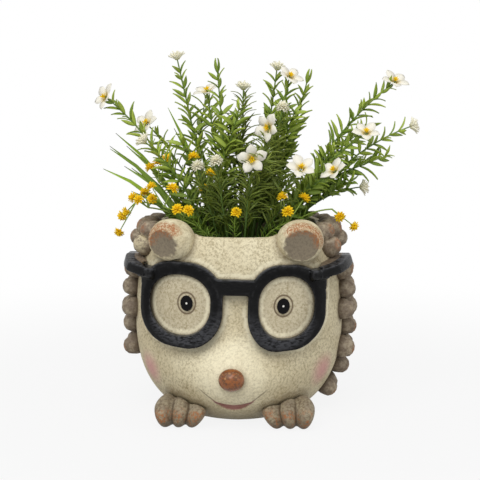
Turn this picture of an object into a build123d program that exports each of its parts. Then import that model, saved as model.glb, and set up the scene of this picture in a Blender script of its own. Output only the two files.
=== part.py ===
from build123d import *
import math
import os

# A hedgehog planter in spectacles, cast in clay, with a planting that lifts out of its bowl.
# Millimetres. The origin is the middle of the flat base, +Z is up and the face looks along -Y.

# Trunk of the pot, a rounded box of revolution with its middle on the Z axis
TRUNK_HALF_WIDTH = 89.0
TRUNK_HALF_DEPTH = 72.0
TRUNK_MIDDLE_Z = 84.0
TRUNK_REACH_UP = 115.0
TRUNK_REACH_DOWN = 92.0
PLAN_POWER = 2.3
SIDE_POWER = 2.4

# Muzzle that swells out of the lower face
MUZZLE_MIDDLE_Z = 43.0
MUZZLE_HALF_WIDTH = 44.0
MUZZLE_HALF_HEIGHT = 32.0
MUZZLE_ROOT_Y = -48.0
MUZZLE_REACH = 48.0
MUZZLE_BLEND = 3.5

# Bowl inside the trunk
WALL = 8.0
FLOOR = 12.0
RIM_FRONT_Z = 154.5
RIM_BACK_Z = 168.0
DRAIN_RADIUS = 5.0
DRAIN_Y = 22.0

# Spectacles in relief: two rims and a bridge on the face, and an arm along each side
RIM_MIDDLE_X = 43.8
RIM_MIDDLE_Z = 101.5
RIM_WIDTH = 67.5
RIM_HEIGHT = 67.5
RIM_CORNER = 27.5
RIM_BAND = 9.2
RIM_PROUD = 7.0
BRIDGE_Z = 117.0
BRIDGE_HEIGHT = 12.5
LUG_SIZE = 14.0
LUG_DROP = 14.0
SPECTACLES_ROLL = 1.2
ARM_PROUD = 13.5
ARM_HEIGHT = 9.0
ARM_START = (-60.0, 121.0)
ARM_BEND = (0.0, 139.0)
ARM_TIP = (22.0, 128.0)
ARM_CLEARANCE = 0.4

# Eyes, nose and mouth
PUPIL_X = 40.0
PUPIL_WIDTH = 10.5
PUPIL_HEIGHT = 12.7
PUPIL_PROUD = 1.2
EYE_RING_GAP = 1.6
EYE_RING_WIDTH = 1.2
EYE_RING_DEPTH = 0.9
NOSE_HALF_WIDTH = 10.5
NOSE_HALF_HEIGHT = 9.2
NOSE_HALF_DEPTH = 9.0
NOSE_Z = 45.0
NOSE_PROUD = 4.5
MOUTH_HALF_WIDTH = 17.0
MOUTH_CORNER_Z = 26.5
MOUTH_UPPER_Z = 22.0
MOUTH_LOWER_Z = 17.0
MOUTH_DEPTH = 3.5

# Ears: balls with a dished front, turned outwards
EAR_X = 54.0
EAR_Z = 153.0
EAR_RADIUS = 20.5
EAR_CUT = 5.0
EAR_LIP = 3.0
EAR_DISH = 2.5
EAR_YAW = 45.0
EAR_STAND = 7.0

# Front paws, with toes side by side under the chin
PAW_X = 44.0
PAW_FRONT_Y = -92.0
TOE_COUNT = 3
TOE_HALF_WIDTH = 10.0
TOE_HALF_HEIGHT = 16.0
TOE_HALF_LENGTH = 24.0
TOE_PITCH = 12.8
TOE_FAN = 9.0
TOE_LIFT = 13.0
PAD_HALF_WIDTH = 21.5
PAD_HALF_LENGTH = 26.0
PAD_HALF_HEIGHT = 14.0
PAD_BEHIND = 8.0

# Coat of blunt quills round the flanks and back
QUILL_RADIUS = 8.3
QUILL_HEIGHT = 14.0
QUILL_NOSE = 5.5
SEAT_GAP = 0.2
QUILL_PITCH = 18.6
QUILL_ROWS = 9
QUILL_LOW_Z = 22.0
QUILL_HIGH_Z = 156.0
QUILL_FRONT_ANGLE = 79.0
QUILL_BROW_ANGLE = 68.0

# Planting: a block of foam on the floor of the bowl that holds every stem
FOAM_HALF_WIDTH = 46.0
FOAM_HALF_DEPTH = 36.0
FOAM_TOP_Z = 120.0
STEM_RADIUS = 1.2
TWIG_RADIUS = 0.8
STEM_IN_FOAM = 28.0
STEM_RISE = 14.0
STEM_UPRIGHT = 1.5
STEM_STRAIGHT = 18.0
STEM_BENDS = 5
FOOT_SHARE_X = 0.26
FOOT_SHARE_Y = 0.7
MOUTH_MARGIN = 6.0

# Leaves in pairs along the sprays
LEAF_LENGTH = 19.0
LEAF_WIDTH = 4.5
LEAF_THICK = 0.7
LEAF_BELLY = 0.42
LEAF_PITCH = 12.0
LEAF_LEAN = 50.0
LEAF_SPIN = 35.0
LEAF_ROLL = 55.0

# Flowers, buds, pompons and grass
FLOWER_RADIUS = 12.5
FLOWER_EYE = 3.0
PETAL_COUNT = 5
PETAL_RADIUS = 5.2
PETAL_THICK = 1.4
BUD_RADIUS = 7.0
POMPON_RADIUS = 4.2
POMPON_FLAT = 60.0
GRASS_WIDTH = 4.0
GRASS_THICK = 0.9
GRASS_SHARE_X = 0.3
GRASS_SHARE_Y = 0.8

# Tips of the white-flowered sprays and what each ends in
SPRAYS = [
    ((-117, 5, 270), "flower"),
    ((-55, 15, 303), "bud"),
    ((-28, 5, 275), "flower"),
    ((-18, -8, 291), "leaf"),
    ((3, 12, 277), "bud"),
    ((32, 22, 294), "bud"),
    ((43, 8, 288), "flower"),
    ((58, 14, 282), "leaf"),
    ((135, 16, 283), "flower"),
    ((148, 2, 245), "bud"),
    ((110, -12, 240), "flower"),
    ((-84, 26, 246), "flower"),
    ((-79, -25, 233), "bud"),
    ((106, 6, 192), "bud"),
    ((37, -12, 259), "bud"),
    ((27, -29, 247), "flower"),
    ((13, -46, 222), "flower"),
    ((55, -36, 212), "flower"),
    ((84, -28, 209), "flower"),
    ((-33, -29, 210), "bud"),
    ((-17, -38, 215), "bud"),
]

# Yellow sprigs: the fork of each and the balls on its twigs
SPRIGS = [
    ((-69, -6, 196), [(-77, -6, 210), (-70, -3, 214), (-62, -9, 218)]),
    ((-62, -33, 178), [(-73, -33, 196), (-54, -35, 195)]),
    ((-78, -12, 175), [(-92, -11, 184), (-86, -19, 183), (-82, -4, 188), (-73, -21, 184)]),
    ((-92, 14, 177), [(-101, 14, 168), (-106, 22, 163), (-106, 2, 151)]),
    ((-46, -38, 168), [(-50, -44, 178), (-40, -44, 177)]),
    ((-31, -16, 186), [(-29, -18, 193), (-24, -6, 205), (-39, -10, 220)]),
    ((-2, -40, 166), [(0, -46, 176)]),
    ((43, -38, 166), [(38, -40, 189), (57, -31, 187), (43, -46, 177)]),
    ((80, -24, 176), [(87, -31, 170), (99, -22, 161)]),
]

# Tips of the blades of grass
GRASS_TIPS = [
    (-108, 18, 236),
    (-108, -17, 227),
    (-114, 24, 222),
    (-118, 8, 206),
    (-64, 34, 257),
    (-44, 26, 247),
    (75, 30, 208),
    (109, 20, 219),
    (-30, 38, 221),
    (-8, 38, 213),
    (22, 36, 232),
]

# How finely leaves are kept apart from their neighbours
CROWD_CELL = 17.0
CROWD_PITCH = 2.5
CROWD_GAP = 0.4
LOW = (Align.CENTER, Align.CENTER, Align.MIN)

# How finely the sculpted skin is drawn
SKIN_LEVELS = 16
SKIN_POINTS = 28
SKIN_CROWDING = 1.15
SKIN_FRONT_CROWDING = 0.35
SKIN_OVER_RIM = 14.0
BOWL_LEVELS = 7
BOWL_POINTS = 24
FAR = 400.0


def trunk_ratio(x, y, z, grow):
    """How far out a point lies in the trunk, as a share of the way to its skin."""
    plan = (abs(x) / (TRUNK_HALF_WIDTH + grow)) ** PLAN_POWER
    plan += (abs(y) / (TRUNK_HALF_DEPTH + grow)) ** PLAN_POWER
    reach = TRUNK_REACH_UP if z > TRUNK_MIDDLE_Z else TRUNK_REACH_DOWN
    tall = (abs(z - TRUNK_MIDDLE_Z) / (reach + grow)) ** SIDE_POWER
    return (plan ** (SIDE_POWER / PLAN_POWER) + tall) ** (1 / SIDE_POWER)


def muzzle_ratio(x, y, z, grow):
    """How far out a point lies in the muzzle, as a share of the way to its skin."""
    wide = x / (MUZZLE_HALF_WIDTH + grow)
    long = (y - MUZZLE_ROOT_Y) / (MUZZLE_REACH + grow)
    tall = (z - MUZZLE_MIDDLE_Z) / (MUZZLE_HALF_HEIGHT + grow)
    return math.sqrt(wide * wide + long * long + tall * tall)


def skin_ratio(point, grow=0.0):
    """Trunk and muzzle blended into one skin, which lies where this is 1."""
    trunk = max(trunk_ratio(*point, grow), 1e-6)
    muzzle = max(muzzle_ratio(*point, grow), 1e-6)
    return (trunk**-MUZZLE_BLEND + muzzle**-MUZZLE_BLEND) ** (-1 / MUZZLE_BLEND)


def reach_skin(start, direction, grow=0.0):
    """The point where a ray from inside the body meets its skin."""
    way = Vector(*direction).normalized()
    near, far = 0.0, FAR
    for _ in range(40):
        middle = (near + far) / 2
        if skin_ratio(tuple(Vector(*start) + way * middle), grow) < 1:
            near = middle
        else:
            far = middle
    return Vector(*start) + way * near


def skin_normal(point):
    """The outward direction of the skin at a point on it."""
    step = 0.05
    slope = []
    for axis in (Vector(1, 0, 0), Vector(0, 1, 0), Vector(0, 0, 1)):
        ahead = skin_ratio(tuple(point + axis * step))
        behind = skin_ratio(tuple(point - axis * step))
        slope.append(ahead - behind)
    return Vector(*slope).normalized()


def face_point(x, z):
    """The point of the face straight ahead of a place in the trunk."""
    return reach_skin((x, 0, z), (0, -1, 0))


def skin_solid(grow=0.0):
    """The whole body under its skin, or under a skin that stands proud of it by grow."""
    top = RIM_BACK_Z + SKIN_OVER_RIM
    wires = []
    for level in range(SKIN_LEVELS):
        z = top * (level / (SKIN_LEVELS - 1)) ** SKIN_CROWDING
        points = []
        for step in range(SKIN_POINTS):
            turn = math.tau * step / SKIN_POINTS
            turn -= SKIN_FRONT_CROWDING * math.sin(turn)
            points.append(reach_skin((0, 0, z), (math.sin(turn), -math.cos(turn), 0), grow))
        wires.append(Wire([Spline(*points, periodic=True)]))
    return Solid.make_loft(wires)


def bowl_share(z):
    """Size of the bowl at a height, as a share of its size at the middle of the trunk."""
    reach = TRUNK_REACH_UP if z > TRUNK_MIDDLE_Z else TRUNK_REACH_DOWN - WALL
    return (1 - (abs(z - TRUNK_MIDDLE_Z) / reach) ** SIDE_POWER) ** (1 / SIDE_POWER)


def bowl_solid():
    """The hollow of the pot, from its flat floor up past the rim."""
    top = RIM_BACK_Z + WALL
    wires = []
    for level in range(BOWL_LEVELS):
        z = FLOOR + (top - FLOOR) * level / (BOWL_LEVELS - 1)
        half_width = (TRUNK_HALF_WIDTH - WALL) * bowl_share(z)
        half_depth = (TRUNK_HALF_DEPTH - WALL) * bowl_share(z)
        points = []
        for step in range(BOWL_POINTS):
            turn = math.tau * step / BOWL_POINTS
            across, along = math.cos(turn), math.sin(turn)
            size = (abs(across) ** PLAN_POWER + abs(along) ** PLAN_POWER) ** (-1 / PLAN_POWER)
            points.append((half_width * size * across, half_depth * size * along, z))
        wires.append(Wire([Spline(*points, periodic=True)]))
    return Solid.make_loft(wires)


def above_rim():
    """Everything over the rim, which slopes up towards the back."""
    slope = math.degrees(math.atan2(RIM_BACK_Z - RIM_FRONT_Z, 2 * TRUNK_HALF_DEPTH))
    middle = Location((0, 0, (RIM_FRONT_Z + RIM_BACK_Z) / 2), (slope, 0, 0))
    return middle * Box(FAR, FAR, FAR, align=(Align.CENTER, Align.CENTER, Align.MIN))


def below_floor():
    return Box(FAR, FAR, FAR, align=(Align.CENTER, Align.CENTER, Align.MAX))


def ahead(outline):
    """A sketch drawn on the face, in X and Z, run forwards as a prism."""
    return extrude(Plane.XZ * outline, FAR / 2)


def ellipsoid(middle, half_x, half_y, half_z, turn=(0, 0, 0)):
    return Location(middle, turn) * scale(Sphere(1), (half_x, half_y, half_z))


def spectacles_outline():
    """Both rims and the bridge, as they lie on the face."""
    outer = RectangleRounded(RIM_WIDTH, RIM_HEIGHT, RIM_CORNER)
    inner_width, inner_height = RIM_WIDTH - 2 * RIM_BAND, RIM_HEIGHT - 1.75 * RIM_BAND
    inner = RectangleRounded(inner_width, inner_height, RIM_CORNER - RIM_BAND / 2)
    rims = Sketch()
    for side in (-1, 1):
        rims += Pos(side * RIM_MIDDLE_X, 0) * outer
        lug_x = side * (RIM_MIDDLE_X + (RIM_WIDTH - LUG_SIZE) / 2)
        rims += Pos(lug_x, RIM_HEIGHT / 2 - LUG_DROP) * Rectangle(LUG_SIZE, LUG_SIZE)
    rims += Pos(0, BRIDGE_Z - RIM_MIDDLE_Z) * Rectangle(RIM_MIDDLE_X * 2 - RIM_WIDTH + RIM_BAND, BRIDGE_HEIGHT)
    for side in (-1, 1):
        rims -= Pos(side * RIM_MIDDLE_X, 0) * inner
    return Pos(0, RIM_MIDDLE_Z) * Rot(0, 0, -SPECTACLES_ROLL) * rims


def pupil_places():
    """Middles of the pupils on the face, turned with the spectacles."""
    roll = math.radians(SPECTACLES_ROLL)
    return {
        "left": (-PUPIL_X, RIM_MIDDLE_Z + PUPIL_X * math.sin(roll)),
        "right": (PUPIL_X, RIM_MIDDLE_Z - PUPIL_X * math.sin(roll)),
    }


def arm_outline(extra=0.0):
    """Side view of a spectacle arm, in Y and Z, with a drooping tip."""
    wide = ARM_HEIGHT + 2 * extra
    run = Polyline(ARM_START, ARM_BEND, ARM_TIP)
    band = Sketch()
    for edge in run.edges():
        way = edge.position_at(1) - edge.position_at(0)
        lean = math.degrees(math.atan2(way.Y, way.X))
        middle = edge.position_at(0.5)
        band += Pos(middle.X, middle.Y) * SlotCenterToCenter(way.length, wide, rotation=lean)
    return band


def arm_prism(side, extra=0.0):
    """A spectacle arm's outline run outwards from the middle of the pot."""
    start = RIM_MIDDLE_X + (RIM_WIDTH - RIM_BAND) / 2
    prism = extrude(Plane.YZ.offset(start) * arm_outline(extra), FAR / 4)
    return prism if side > 0 else mirror(prism, Plane.YZ)


def mouth_outline():
    """A smile: the crescent between the upper and the lower lip."""
    left, right = (-MOUTH_HALF_WIDTH, MOUTH_CORNER_Z), (MOUTH_HALF_WIDTH, MOUTH_CORNER_Z)
    upper = ThreePointArc(left, (0, MOUTH_UPPER_Z), right)
    lower = ThreePointArc(left, (0, MOUTH_LOWER_Z), right)
    return make_face([upper, lower])


def eye_ring(place):
    inner_x, inner_z = PUPIL_WIDTH / 2 + EYE_RING_GAP, PUPIL_HEIGHT / 2 + EYE_RING_GAP
    ring = Ellipse(inner_x + EYE_RING_WIDTH, inner_z + EYE_RING_WIDTH, rotation=0)
    return Pos(*place) * (ring - Ellipse(inner_x, inner_z))


def make_pot(skin, bowl):
    """The casting: trunk and muzzle, hollowed, with a flat base, a drain hole, a mouth and eyes."""
    pot = Part() + skin - below_floor() - above_rim() - bowl
    pot -= Pos(0, DRAIN_Y, 0) * Cylinder(DRAIN_RADIUS, 3 * FLOOR)
    pot -= ahead(mouth_outline()) - skin_solid(-MOUTH_DEPTH)
    under_ring = skin_solid(-EYE_RING_DEPTH)
    for place in pupil_places().values():
        pot -= ahead(eye_ring(place)) - under_ring
    return pot


def cap_arc(radius, edge, apex):
    """Half the outline of a round cap, from its apex on the axis to its edge."""
    rise = apex - edge
    bend = (radius**2 + rise**2) / (2 * rise)
    half_turn = math.asin(radius / bend) / 2
    return ThreePointArc((0, apex), (bend * math.sin(half_turn), apex - bend * (1 - math.cos(half_turn))), (radius, edge))


def make_ear(side):
    """One ear: a ball with a dished front inside a rounded lip, on the corner of the brow."""
    edge = math.sqrt(EAR_RADIUS**2 - EAR_CUT**2)
    half_turn = math.acos(-EAR_CUT / EAR_RADIUS) / 2
    belly = (EAR_RADIUS * math.sin(half_turn), EAR_RADIUS * math.cos(half_turn))
    lip_front = (edge - EAR_LIP / 2, -EAR_CUT - EAR_LIP / 3)
    outline = [
        Line((0, EAR_DISH - EAR_CUT), (0, EAR_RADIUS)),
        ThreePointArc((0, EAR_RADIUS), belly, (edge, -EAR_CUT)),
        ThreePointArc((edge, -EAR_CUT), lip_front, (edge - EAR_LIP, -EAR_CUT)),
        cap_arc(edge - EAR_LIP, -EAR_CUT, EAR_DISH - EAR_CUT),
    ]
    ball = revolve(make_face(outline), Axis.Y)
    seat = face_point(EAR_X, EAR_Z)
    ear = Location((EAR_X, seat.Y - EAR_STAND, EAR_Z), (0, 0, EAR_YAW)) * ball
    return ear if side > 0 else mirror(ear, Plane.YZ)


def make_paw(side):
    """One paw: toes side by side, flat on the ground."""
    paw = Part()
    for toe in range(TOE_COUNT):
        place = toe - (TOE_COUNT - 1) / 2
        middle = (PAW_X + place * TOE_PITCH, PAW_FRONT_Y + TOE_HALF_LENGTH, TOE_LIFT)
        paw += ellipsoid(middle, TOE_HALF_WIDTH, TOE_HALF_LENGTH, TOE_HALF_HEIGHT, (0, 0, place * TOE_FAN))
    pad = (PAW_X, PAW_FRONT_Y + TOE_HALF_LENGTH + PAD_BEHIND, TOE_LIFT)
    paw += ellipsoid(pad, PAD_HALF_WIDTH, PAD_HALF_LENGTH, PAD_HALF_HEIGHT)
    paw -= below_floor()
    return paw if side > 0 else mirror(paw, Plane.YZ)


def quill_shape():
    """A blunt quill on the origin, pointing along +Z: a cone with a round nose."""
    nose_z = QUILL_HEIGHT - QUILL_NOSE
    slant = math.hypot(QUILL_RADIUS, nose_z)
    flank = math.atan2(nose_z, -QUILL_RADIUS) - math.asin(QUILL_NOSE / slant)
    run = math.sqrt(slant**2 - QUILL_NOSE**2)
    meet = (QUILL_RADIUS + run * math.cos(flank), run * math.sin(flank))
    half_turn = math.atan2(meet[0], meet[1] - nose_z) / 2
    bend = (QUILL_NOSE * math.sin(half_turn), nose_z + QUILL_NOSE * math.cos(half_turn))
    outline = [
        Line((0, 0), (QUILL_RADIUS, 0)),
        Line((QUILL_RADIUS, 0), meet),
        ThreePointArc(meet, bend, (0, QUILL_HEIGHT)),
        Line((0, QUILL_HEIGHT), (0, 0)),
    ]
    return revolve(Plane.XZ * make_face(outline), Axis.Z)


def quill_places(row):
    """Where the quills of one row stand: evenly along the skin from one flank round to the other."""
    share = row / (QUILL_ROWS - 1)
    z = QUILL_LOW_Z + (QUILL_HIGH_Z - QUILL_LOW_Z) * share
    front = QUILL_FRONT_ANGLE + (QUILL_BROW_ANGLE - QUILL_FRONT_ANGLE) * share**4
    steps = 720
    points = []
    for step in range(steps + 1):
        turn = math.radians(front + (360 - 2 * front) * step / steps)
        points.append(reach_skin((0, 0, z), (math.sin(turn), -math.cos(turn), 0)))
    lengths = [0.0]
    for near, far in zip(points, points[1:]):
        lengths.append(lengths[-1] + (far - near).length)
    count = int(lengths[-1] / QUILL_PITCH)
    start = (lengths[-1] - (count - row % 2) * QUILL_PITCH) / 2
    places = []
    for quill in range(count + 1 - row % 2):
        wanted = start + quill * QUILL_PITCH
        step = max(i for i, length in enumerate(lengths) if length <= wanted + 1e-6)
        places.append(points[step])
    return places


def beside_arm(place):
    """The plane that trims a quill beside a spectacle arm, or None where the arm takes its room."""
    flat = Vector(place.Y, place.Z, 0)
    run = Polyline(ARM_START, ARM_BEND, ARM_TIP)
    near = run.position_at(run.param_at_point(run.closest_points(flat)[0]))
    away = flat - near
    if away.length < ARM_HEIGHT / 2 + QUILL_NOSE:
        return None
    edge = near + away.normalized() * (ARM_HEIGHT / 2 + ARM_CLEARANCE)
    return Plane(origin=(place.X, edge.X, edge.Y), z_dir=(0, away.X, away.Y))


def make_quill_row(row):
    """One row of quills, each a separate piece seated on the skin and clear of the arms."""
    quills = []
    for place in quill_places(row):
        normal = skin_normal(place)
        quill = Plane(origin=place + normal * SEAT_GAP, z_dir=normal).location * quill_shape()
        trim = beside_arm(place)
        if trim:
            quills.extend(split(quill, bisect_by=trim, keep=Keep.TOP).solids())
    return quills


class Crowd:
    """Room that is already taken, so that no leaf is put through something else."""

    def __init__(self):
        self.cells = {}

    def cell(self, point):
        return tuple(math.floor(value / CROWD_CELL) for value in point)

    def add(self, owner, points, radius):
        for point in points:
            self.cells.setdefault(self.cell(point), []).append((owner, point, radius))

    def closest(self, owner, points, radius):
        """The smallest gap between new points and what others have taken, up to one cell."""
        gap = CROWD_CELL
        for point in points:
            middle = self.cell(point)
            for step in range(27):
                cell = (middle[0] + step % 3 - 1, middle[1] + step // 3 % 3 - 1, middle[2] + step // 9 - 1)
                for other, taken, taken_radius in self.cells.get(cell, []):
                    if other != owner:
                        gap = min(gap, (taken - point).length - radius - taken_radius)
        return gap


def in_mouth(point):
    """Whether a point is over the rim of the pot or inside the opening of its bowl."""
    if point.Z > RIM_BACK_Z + QUILL_HEIGHT:
        return True
    half_width = (TRUNK_HALF_WIDTH - WALL) * bowl_share(point.Z) - MOUTH_MARGIN
    half_depth = (TRUNK_HALF_DEPTH - WALL) * bowl_share(point.Z) - MOUTH_MARGIN
    across, along = abs(point.X) / half_width, abs(point.Y) / half_depth
    return across**PLAN_POWER + along**PLAN_POWER < 1


def stem_path(tip):
    """The run of a stem: straight through the foam, then one bend out to its tip if it leans enough."""
    foot = Vector(FOOT_SHARE_X * tip.X, FOOT_SHARE_Y * tip.Y, FOAM_TOP_Z)
    lean = (tip - foot).normalized()
    if lean.Z > math.cos(math.radians(STEM_STRAIGHT)):
        low = foot - lean * STEM_IN_FOAM
        return Wire([Line(low, tip)]), low, lean
    way = (Vector(0, 0, STEM_UPRIGHT) + lean).normalized()
    low, bend = foot - way * STEM_IN_FOAM, foot + way * STEM_RISE
    arc = TangentArc(bend, tip, tangent=way)
    points = [low] + [arc.position_at(step / STEM_BENDS) for step in range(STEM_BENDS + 1)]
    return Wire([Line(start, end) for start, end in zip(points, points[1:])]), low, way


def along_path(path, pitch):
    """Points along a path, evenly spaced."""
    count = max(2, int(path.length / pitch))
    return [path.position_at(step / count) for step in range(count + 1)]


def along_line(start, end, pitch):
    count = max(2, int((end - start).length / pitch))
    return [start + (end - start) * (step / count) for step in range(count + 1)]


def stem_solid(path, low, way, radius):
    return sweep(Plane(origin=low, z_dir=way) * Circle(radius), path=path, transition=Transition.RIGHT)


def leaf_blade(length, width):
    """A flat leaf with its stalk end on the origin, pointing along +X."""
    outline = Polyline((0, 0), (LEAF_BELLY * length, width / 2), (length, 0), (LEAF_BELLY * length, -width / 2), close=True)
    return extrude(make_face(outline), LEAF_THICK / 2, both=True)


def leaf_stand(root, stem_way, spin, lean, roll):
    """Where a leaf stands on its stem: spun round it, leaning off it and rolled on its own axis."""
    side = stem_way.cross(Vector(0, 1, 0)).normalized().rotate(Axis((0, 0, 0), stem_way), spin)
    leaf_way = stem_way * math.cos(math.radians(lean)) + side * math.sin(math.radians(lean))
    across = stem_way.cross(side).normalized().rotate(Axis((0, 0, 0), leaf_way), roll)
    return Plane(origin=root, x_dir=leaf_way, z_dir=leaf_way.cross(across))


def leaf_stands(path, headed):
    """Leaves in pairs up a stem, and one on the tip of a stem without a flower."""
    stands = []
    stop = path.length - (LEAF_LENGTH if headed else LEAF_PITCH / 2)
    run, pair = STEM_IN_FOAM + STEM_RISE, 0
    while run < stop:
        share = run / path.length
        root, way = path.position_at(share), path.tangent_at(share)
        for side in (0, 180):
            spin = side + (LEAF_SPIN if pair % 2 else -LEAF_SPIN)
            stands.append(leaf_stand(root, way, spin, LEAF_LEAN, LEAF_ROLL if side else -LEAF_ROLL))
        run, pair = run + LEAF_PITCH, pair + 1
    if not headed:
        stands.append(leaf_stand(path.position_at(1) - path.tangent_at(1), path.tangent_at(1), 0, 3, 90))
    return stands


def make_spray(owner, path, low, way, headed, crowd):
    """One spray: a stem with every leaf that finds room, moulded in one."""
    blade = leaf_blade(LEAF_LENGTH, LEAF_WIDTH)
    leaves = []
    for stand in leaf_stands(path, headed):
        root = stand.origin + stand.x_dir * LEAF_WIDTH
        points = along_line(root, stand.origin + stand.x_dir * LEAF_LENGTH, CROWD_PITCH)
        if crowd.closest(owner, points, LEAF_WIDTH / 2) > CROWD_GAP and all(in_mouth(point) for point in points):
            crowd.add(owner, points, LEAF_WIDTH / 2)
            leaves.append(stand.location * blade)
    return stem_solid(path, low, way, STEM_RADIUS) + leaves


def make_flower(tip, way):
    """A flat flower of rounded petals about a small eye, seated on the end of its stem."""
    petals = Circle(PETAL_RADIUS)
    for petal in range(PETAL_COUNT):
        petals += Rot(0, 0, petal * 360 / PETAL_COUNT) * Pos(FLOWER_RADIUS - PETAL_RADIUS, 0) * Circle(PETAL_RADIUS)
    flower = extrude(petals, PETAL_THICK)
    flower += Pos(0, 0, PETAL_THICK) * Sphere(FLOWER_EYE, arc_size1=0, align=LOW)
    return Plane(origin=tip + way * SEAT_GAP, z_dir=way).location * flower


def make_pompon(seat, way, radius):
    """A ball of florets, flattened where it sits on its stem."""
    ball = Sphere(radius, arc_size1=-POMPON_FLAT, align=LOW)
    return Plane(origin=seat + way * SEAT_GAP, z_dir=way).location * ball


def make_blade(tip):
    """A blade of grass: a flat strip through the foam that bends and narrows to its tip."""
    foot = Vector(GRASS_SHARE_X * tip.X, GRASS_SHARE_Y * tip.Y, FOAM_TOP_Z)
    way = (Vector(0, 0, STEM_UPRIGHT) + (tip - foot).normalized()).normalized()
    flat = way.cross(tip - foot).normalized()
    half = flat.cross(way).normalized() * (GRASS_WIDTH / 2)
    low = foot - way * STEM_IN_FOAM
    arcs = [TangentArc(foot + half, tip, tangent=way), TangentArc(foot - half, tip, tangent=way)]
    shank = [Line(foot + half, low + half), Line(low + half, low - half), Line(low - half, foot - half)]
    blade = extrude(make_face(arcs + shank), GRASS_THICK / 2, dir=flat, both=True)
    middle = Wire([Line(low, foot), TangentArc(foot, tip, tangent=way)])
    return blade, middle


def make_planting():
    """Foam with its sprays, sprigs and grass: every stem in a hole of its own."""
    crowd = Crowd()
    foam = Pos(0, 0, FLOOR) * extrude(Ellipse(FOAM_HALF_WIDTH, FOAM_HALF_DEPTH), FOAM_TOP_Z - FLOOR)
    shanks, parts = [], {}
    blades = []
    for number, tip in enumerate(GRASS_TIPS):
        blade, middle = make_blade(Vector(*tip))
        crowd.add(f"grass {number}", along_path(middle, CROWD_PITCH), GRASS_WIDTH / 2)
        blades.extend(blade.solids())
        shanks.append(blade)

    sprigs, pompons = [], []
    for number, (hub, heads) in enumerate(SPRIGS):
        owner = f"sprig {number}"
        hub = Vector(*hub)
        path, low, way = stem_path(hub)
        crowd.add(owner, along_path(path, CROWD_PITCH), TWIG_RADIUS)
        shanks.append(Plane(origin=low, z_dir=way).location * Cylinder(TWIG_RADIUS, STEM_IN_FOAM, align=LOW))
        sprig = stem_solid(path, low, way, TWIG_RADIUS) + Pos(*hub) * Sphere(1.3 * TWIG_RADIUS)
        for head in heads:
            middle = Vector(*head)
            twig_way = (middle - hub).normalized()
            seat = middle - twig_way * (POMPON_RADIUS * math.sin(math.radians(POMPON_FLAT)))
            twig = Plane(origin=hub, z_dir=twig_way).location
            sprig += twig * Cylinder(TWIG_RADIUS, (seat - hub).length, align=LOW)
            crowd.add(owner, along_line(hub, seat, CROWD_PITCH), TWIG_RADIUS)
            crowd.add(owner, [middle], POMPON_RADIUS)
            pompons.extend(make_pompon(seat, twig_way, POMPON_RADIUS).solids())
        sprigs.extend(sprig.solids())

    flowers, buds, runs = [], [], []
    for number, (tip, ending) in enumerate(SPRAYS):
        owner = f"spray {number}"
        tip = Vector(*tip)
        path, low, way = stem_path(tip)
        end_way = path.tangent_at(1)
        crowd.add(owner, along_path(path, CROWD_PITCH), STEM_RADIUS)
        shanks.append(Plane(origin=low, z_dir=way).location * Cylinder(STEM_RADIUS, STEM_IN_FOAM, align=LOW))
        runs.append((owner, path, low, way, ending != "leaf"))
        if ending == "flower":
            flower = make_flower(tip, end_way)
            across = end_way.cross(Vector(1, 0, 0)).normalized() * (FLOWER_RADIUS - PETAL_RADIUS)
            ring = [across.rotate(Axis((0, 0, 0), end_way), turn * 30) for turn in range(12)]
            crowd.add(f"flower {number}", [tip + spoke + end_way * PETAL_THICK for spoke in ring], PETAL_RADIUS)
            flowers.extend(flower.solids())
        if ending == "bud":
            bud = make_pompon(tip, end_way, BUD_RADIUS)
            crowd.add(f"bud {number}", [tip + end_way * BUD_RADIUS], BUD_RADIUS)
            buds.extend(bud.solids())
    for number, run in enumerate(runs):
        parts[f"flower_spray_{number + 1:02d}"] = make_spray(*run, crowd)
    parts["foam_block"] = foam - shanks
    parts["grass_blades"] = blades
    parts["yellow_sprigs"] = sprigs
    parts["yellow_pompons"] = pompons
    parts["white_flowers"] = flowers
    parts["cream_buds"] = buds
    return parts


def make_casting():
    """The pot and everything that stands in relief on it, each piece seated on its skin."""
    skin, bowl = skin_solid(), bowl_solid()
    pot = make_pot(skin, bowl)
    outline = ahead(spectacles_outline())
    brow = skin - above_rim()
    arm_skin, pupil_skin = skin_solid(ARM_PROUD), skin_solid(PUPIL_PROUD)
    nose_y = face_point(0, NOSE_Z).Y - NOSE_PROUD
    nose = ellipsoid((0, nose_y, NOSE_Z), NOSE_HALF_WIDTH, NOSE_HALF_DEPTH, NOSE_HALF_HEIGHT)
    parts = {
        "pot_body": pot,
        "spectacle_front": (outline & skin_solid(RIM_PROUD)) - skin,
        "nose": nose - skin,
    }
    for side, name in ((-1, "left"), (1, "right")):
        parts[f"spectacle_arm_{name}"] = (arm_prism(side) & arm_skin) - skin - outline
        pupil = Pos(*pupil_places()[name]) * Ellipse(PUPIL_WIDTH / 2, PUPIL_HEIGHT / 2)
        parts[f"pupil_{name}"] = (ahead(pupil) & pupil_skin) - skin
        parts[f"ear_{name}"] = make_ear(side) - brow - outline
        parts[f"paw_{name}"] = make_paw(side) - skin
    for row in range(QUILL_ROWS):
        parts[f"quill_row_{row + 1}"] = make_quill_row(row)
    return parts


if __name__ == "__main__":
    os.makedirs("parts", exist_ok=True)
    for name, piece in {**make_casting(), **make_planting()}.items():
        solids = piece if isinstance(piece, list) else piece.solids()
        export_step(Compound(children=list(solids)), f"parts/{name}.step")
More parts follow.
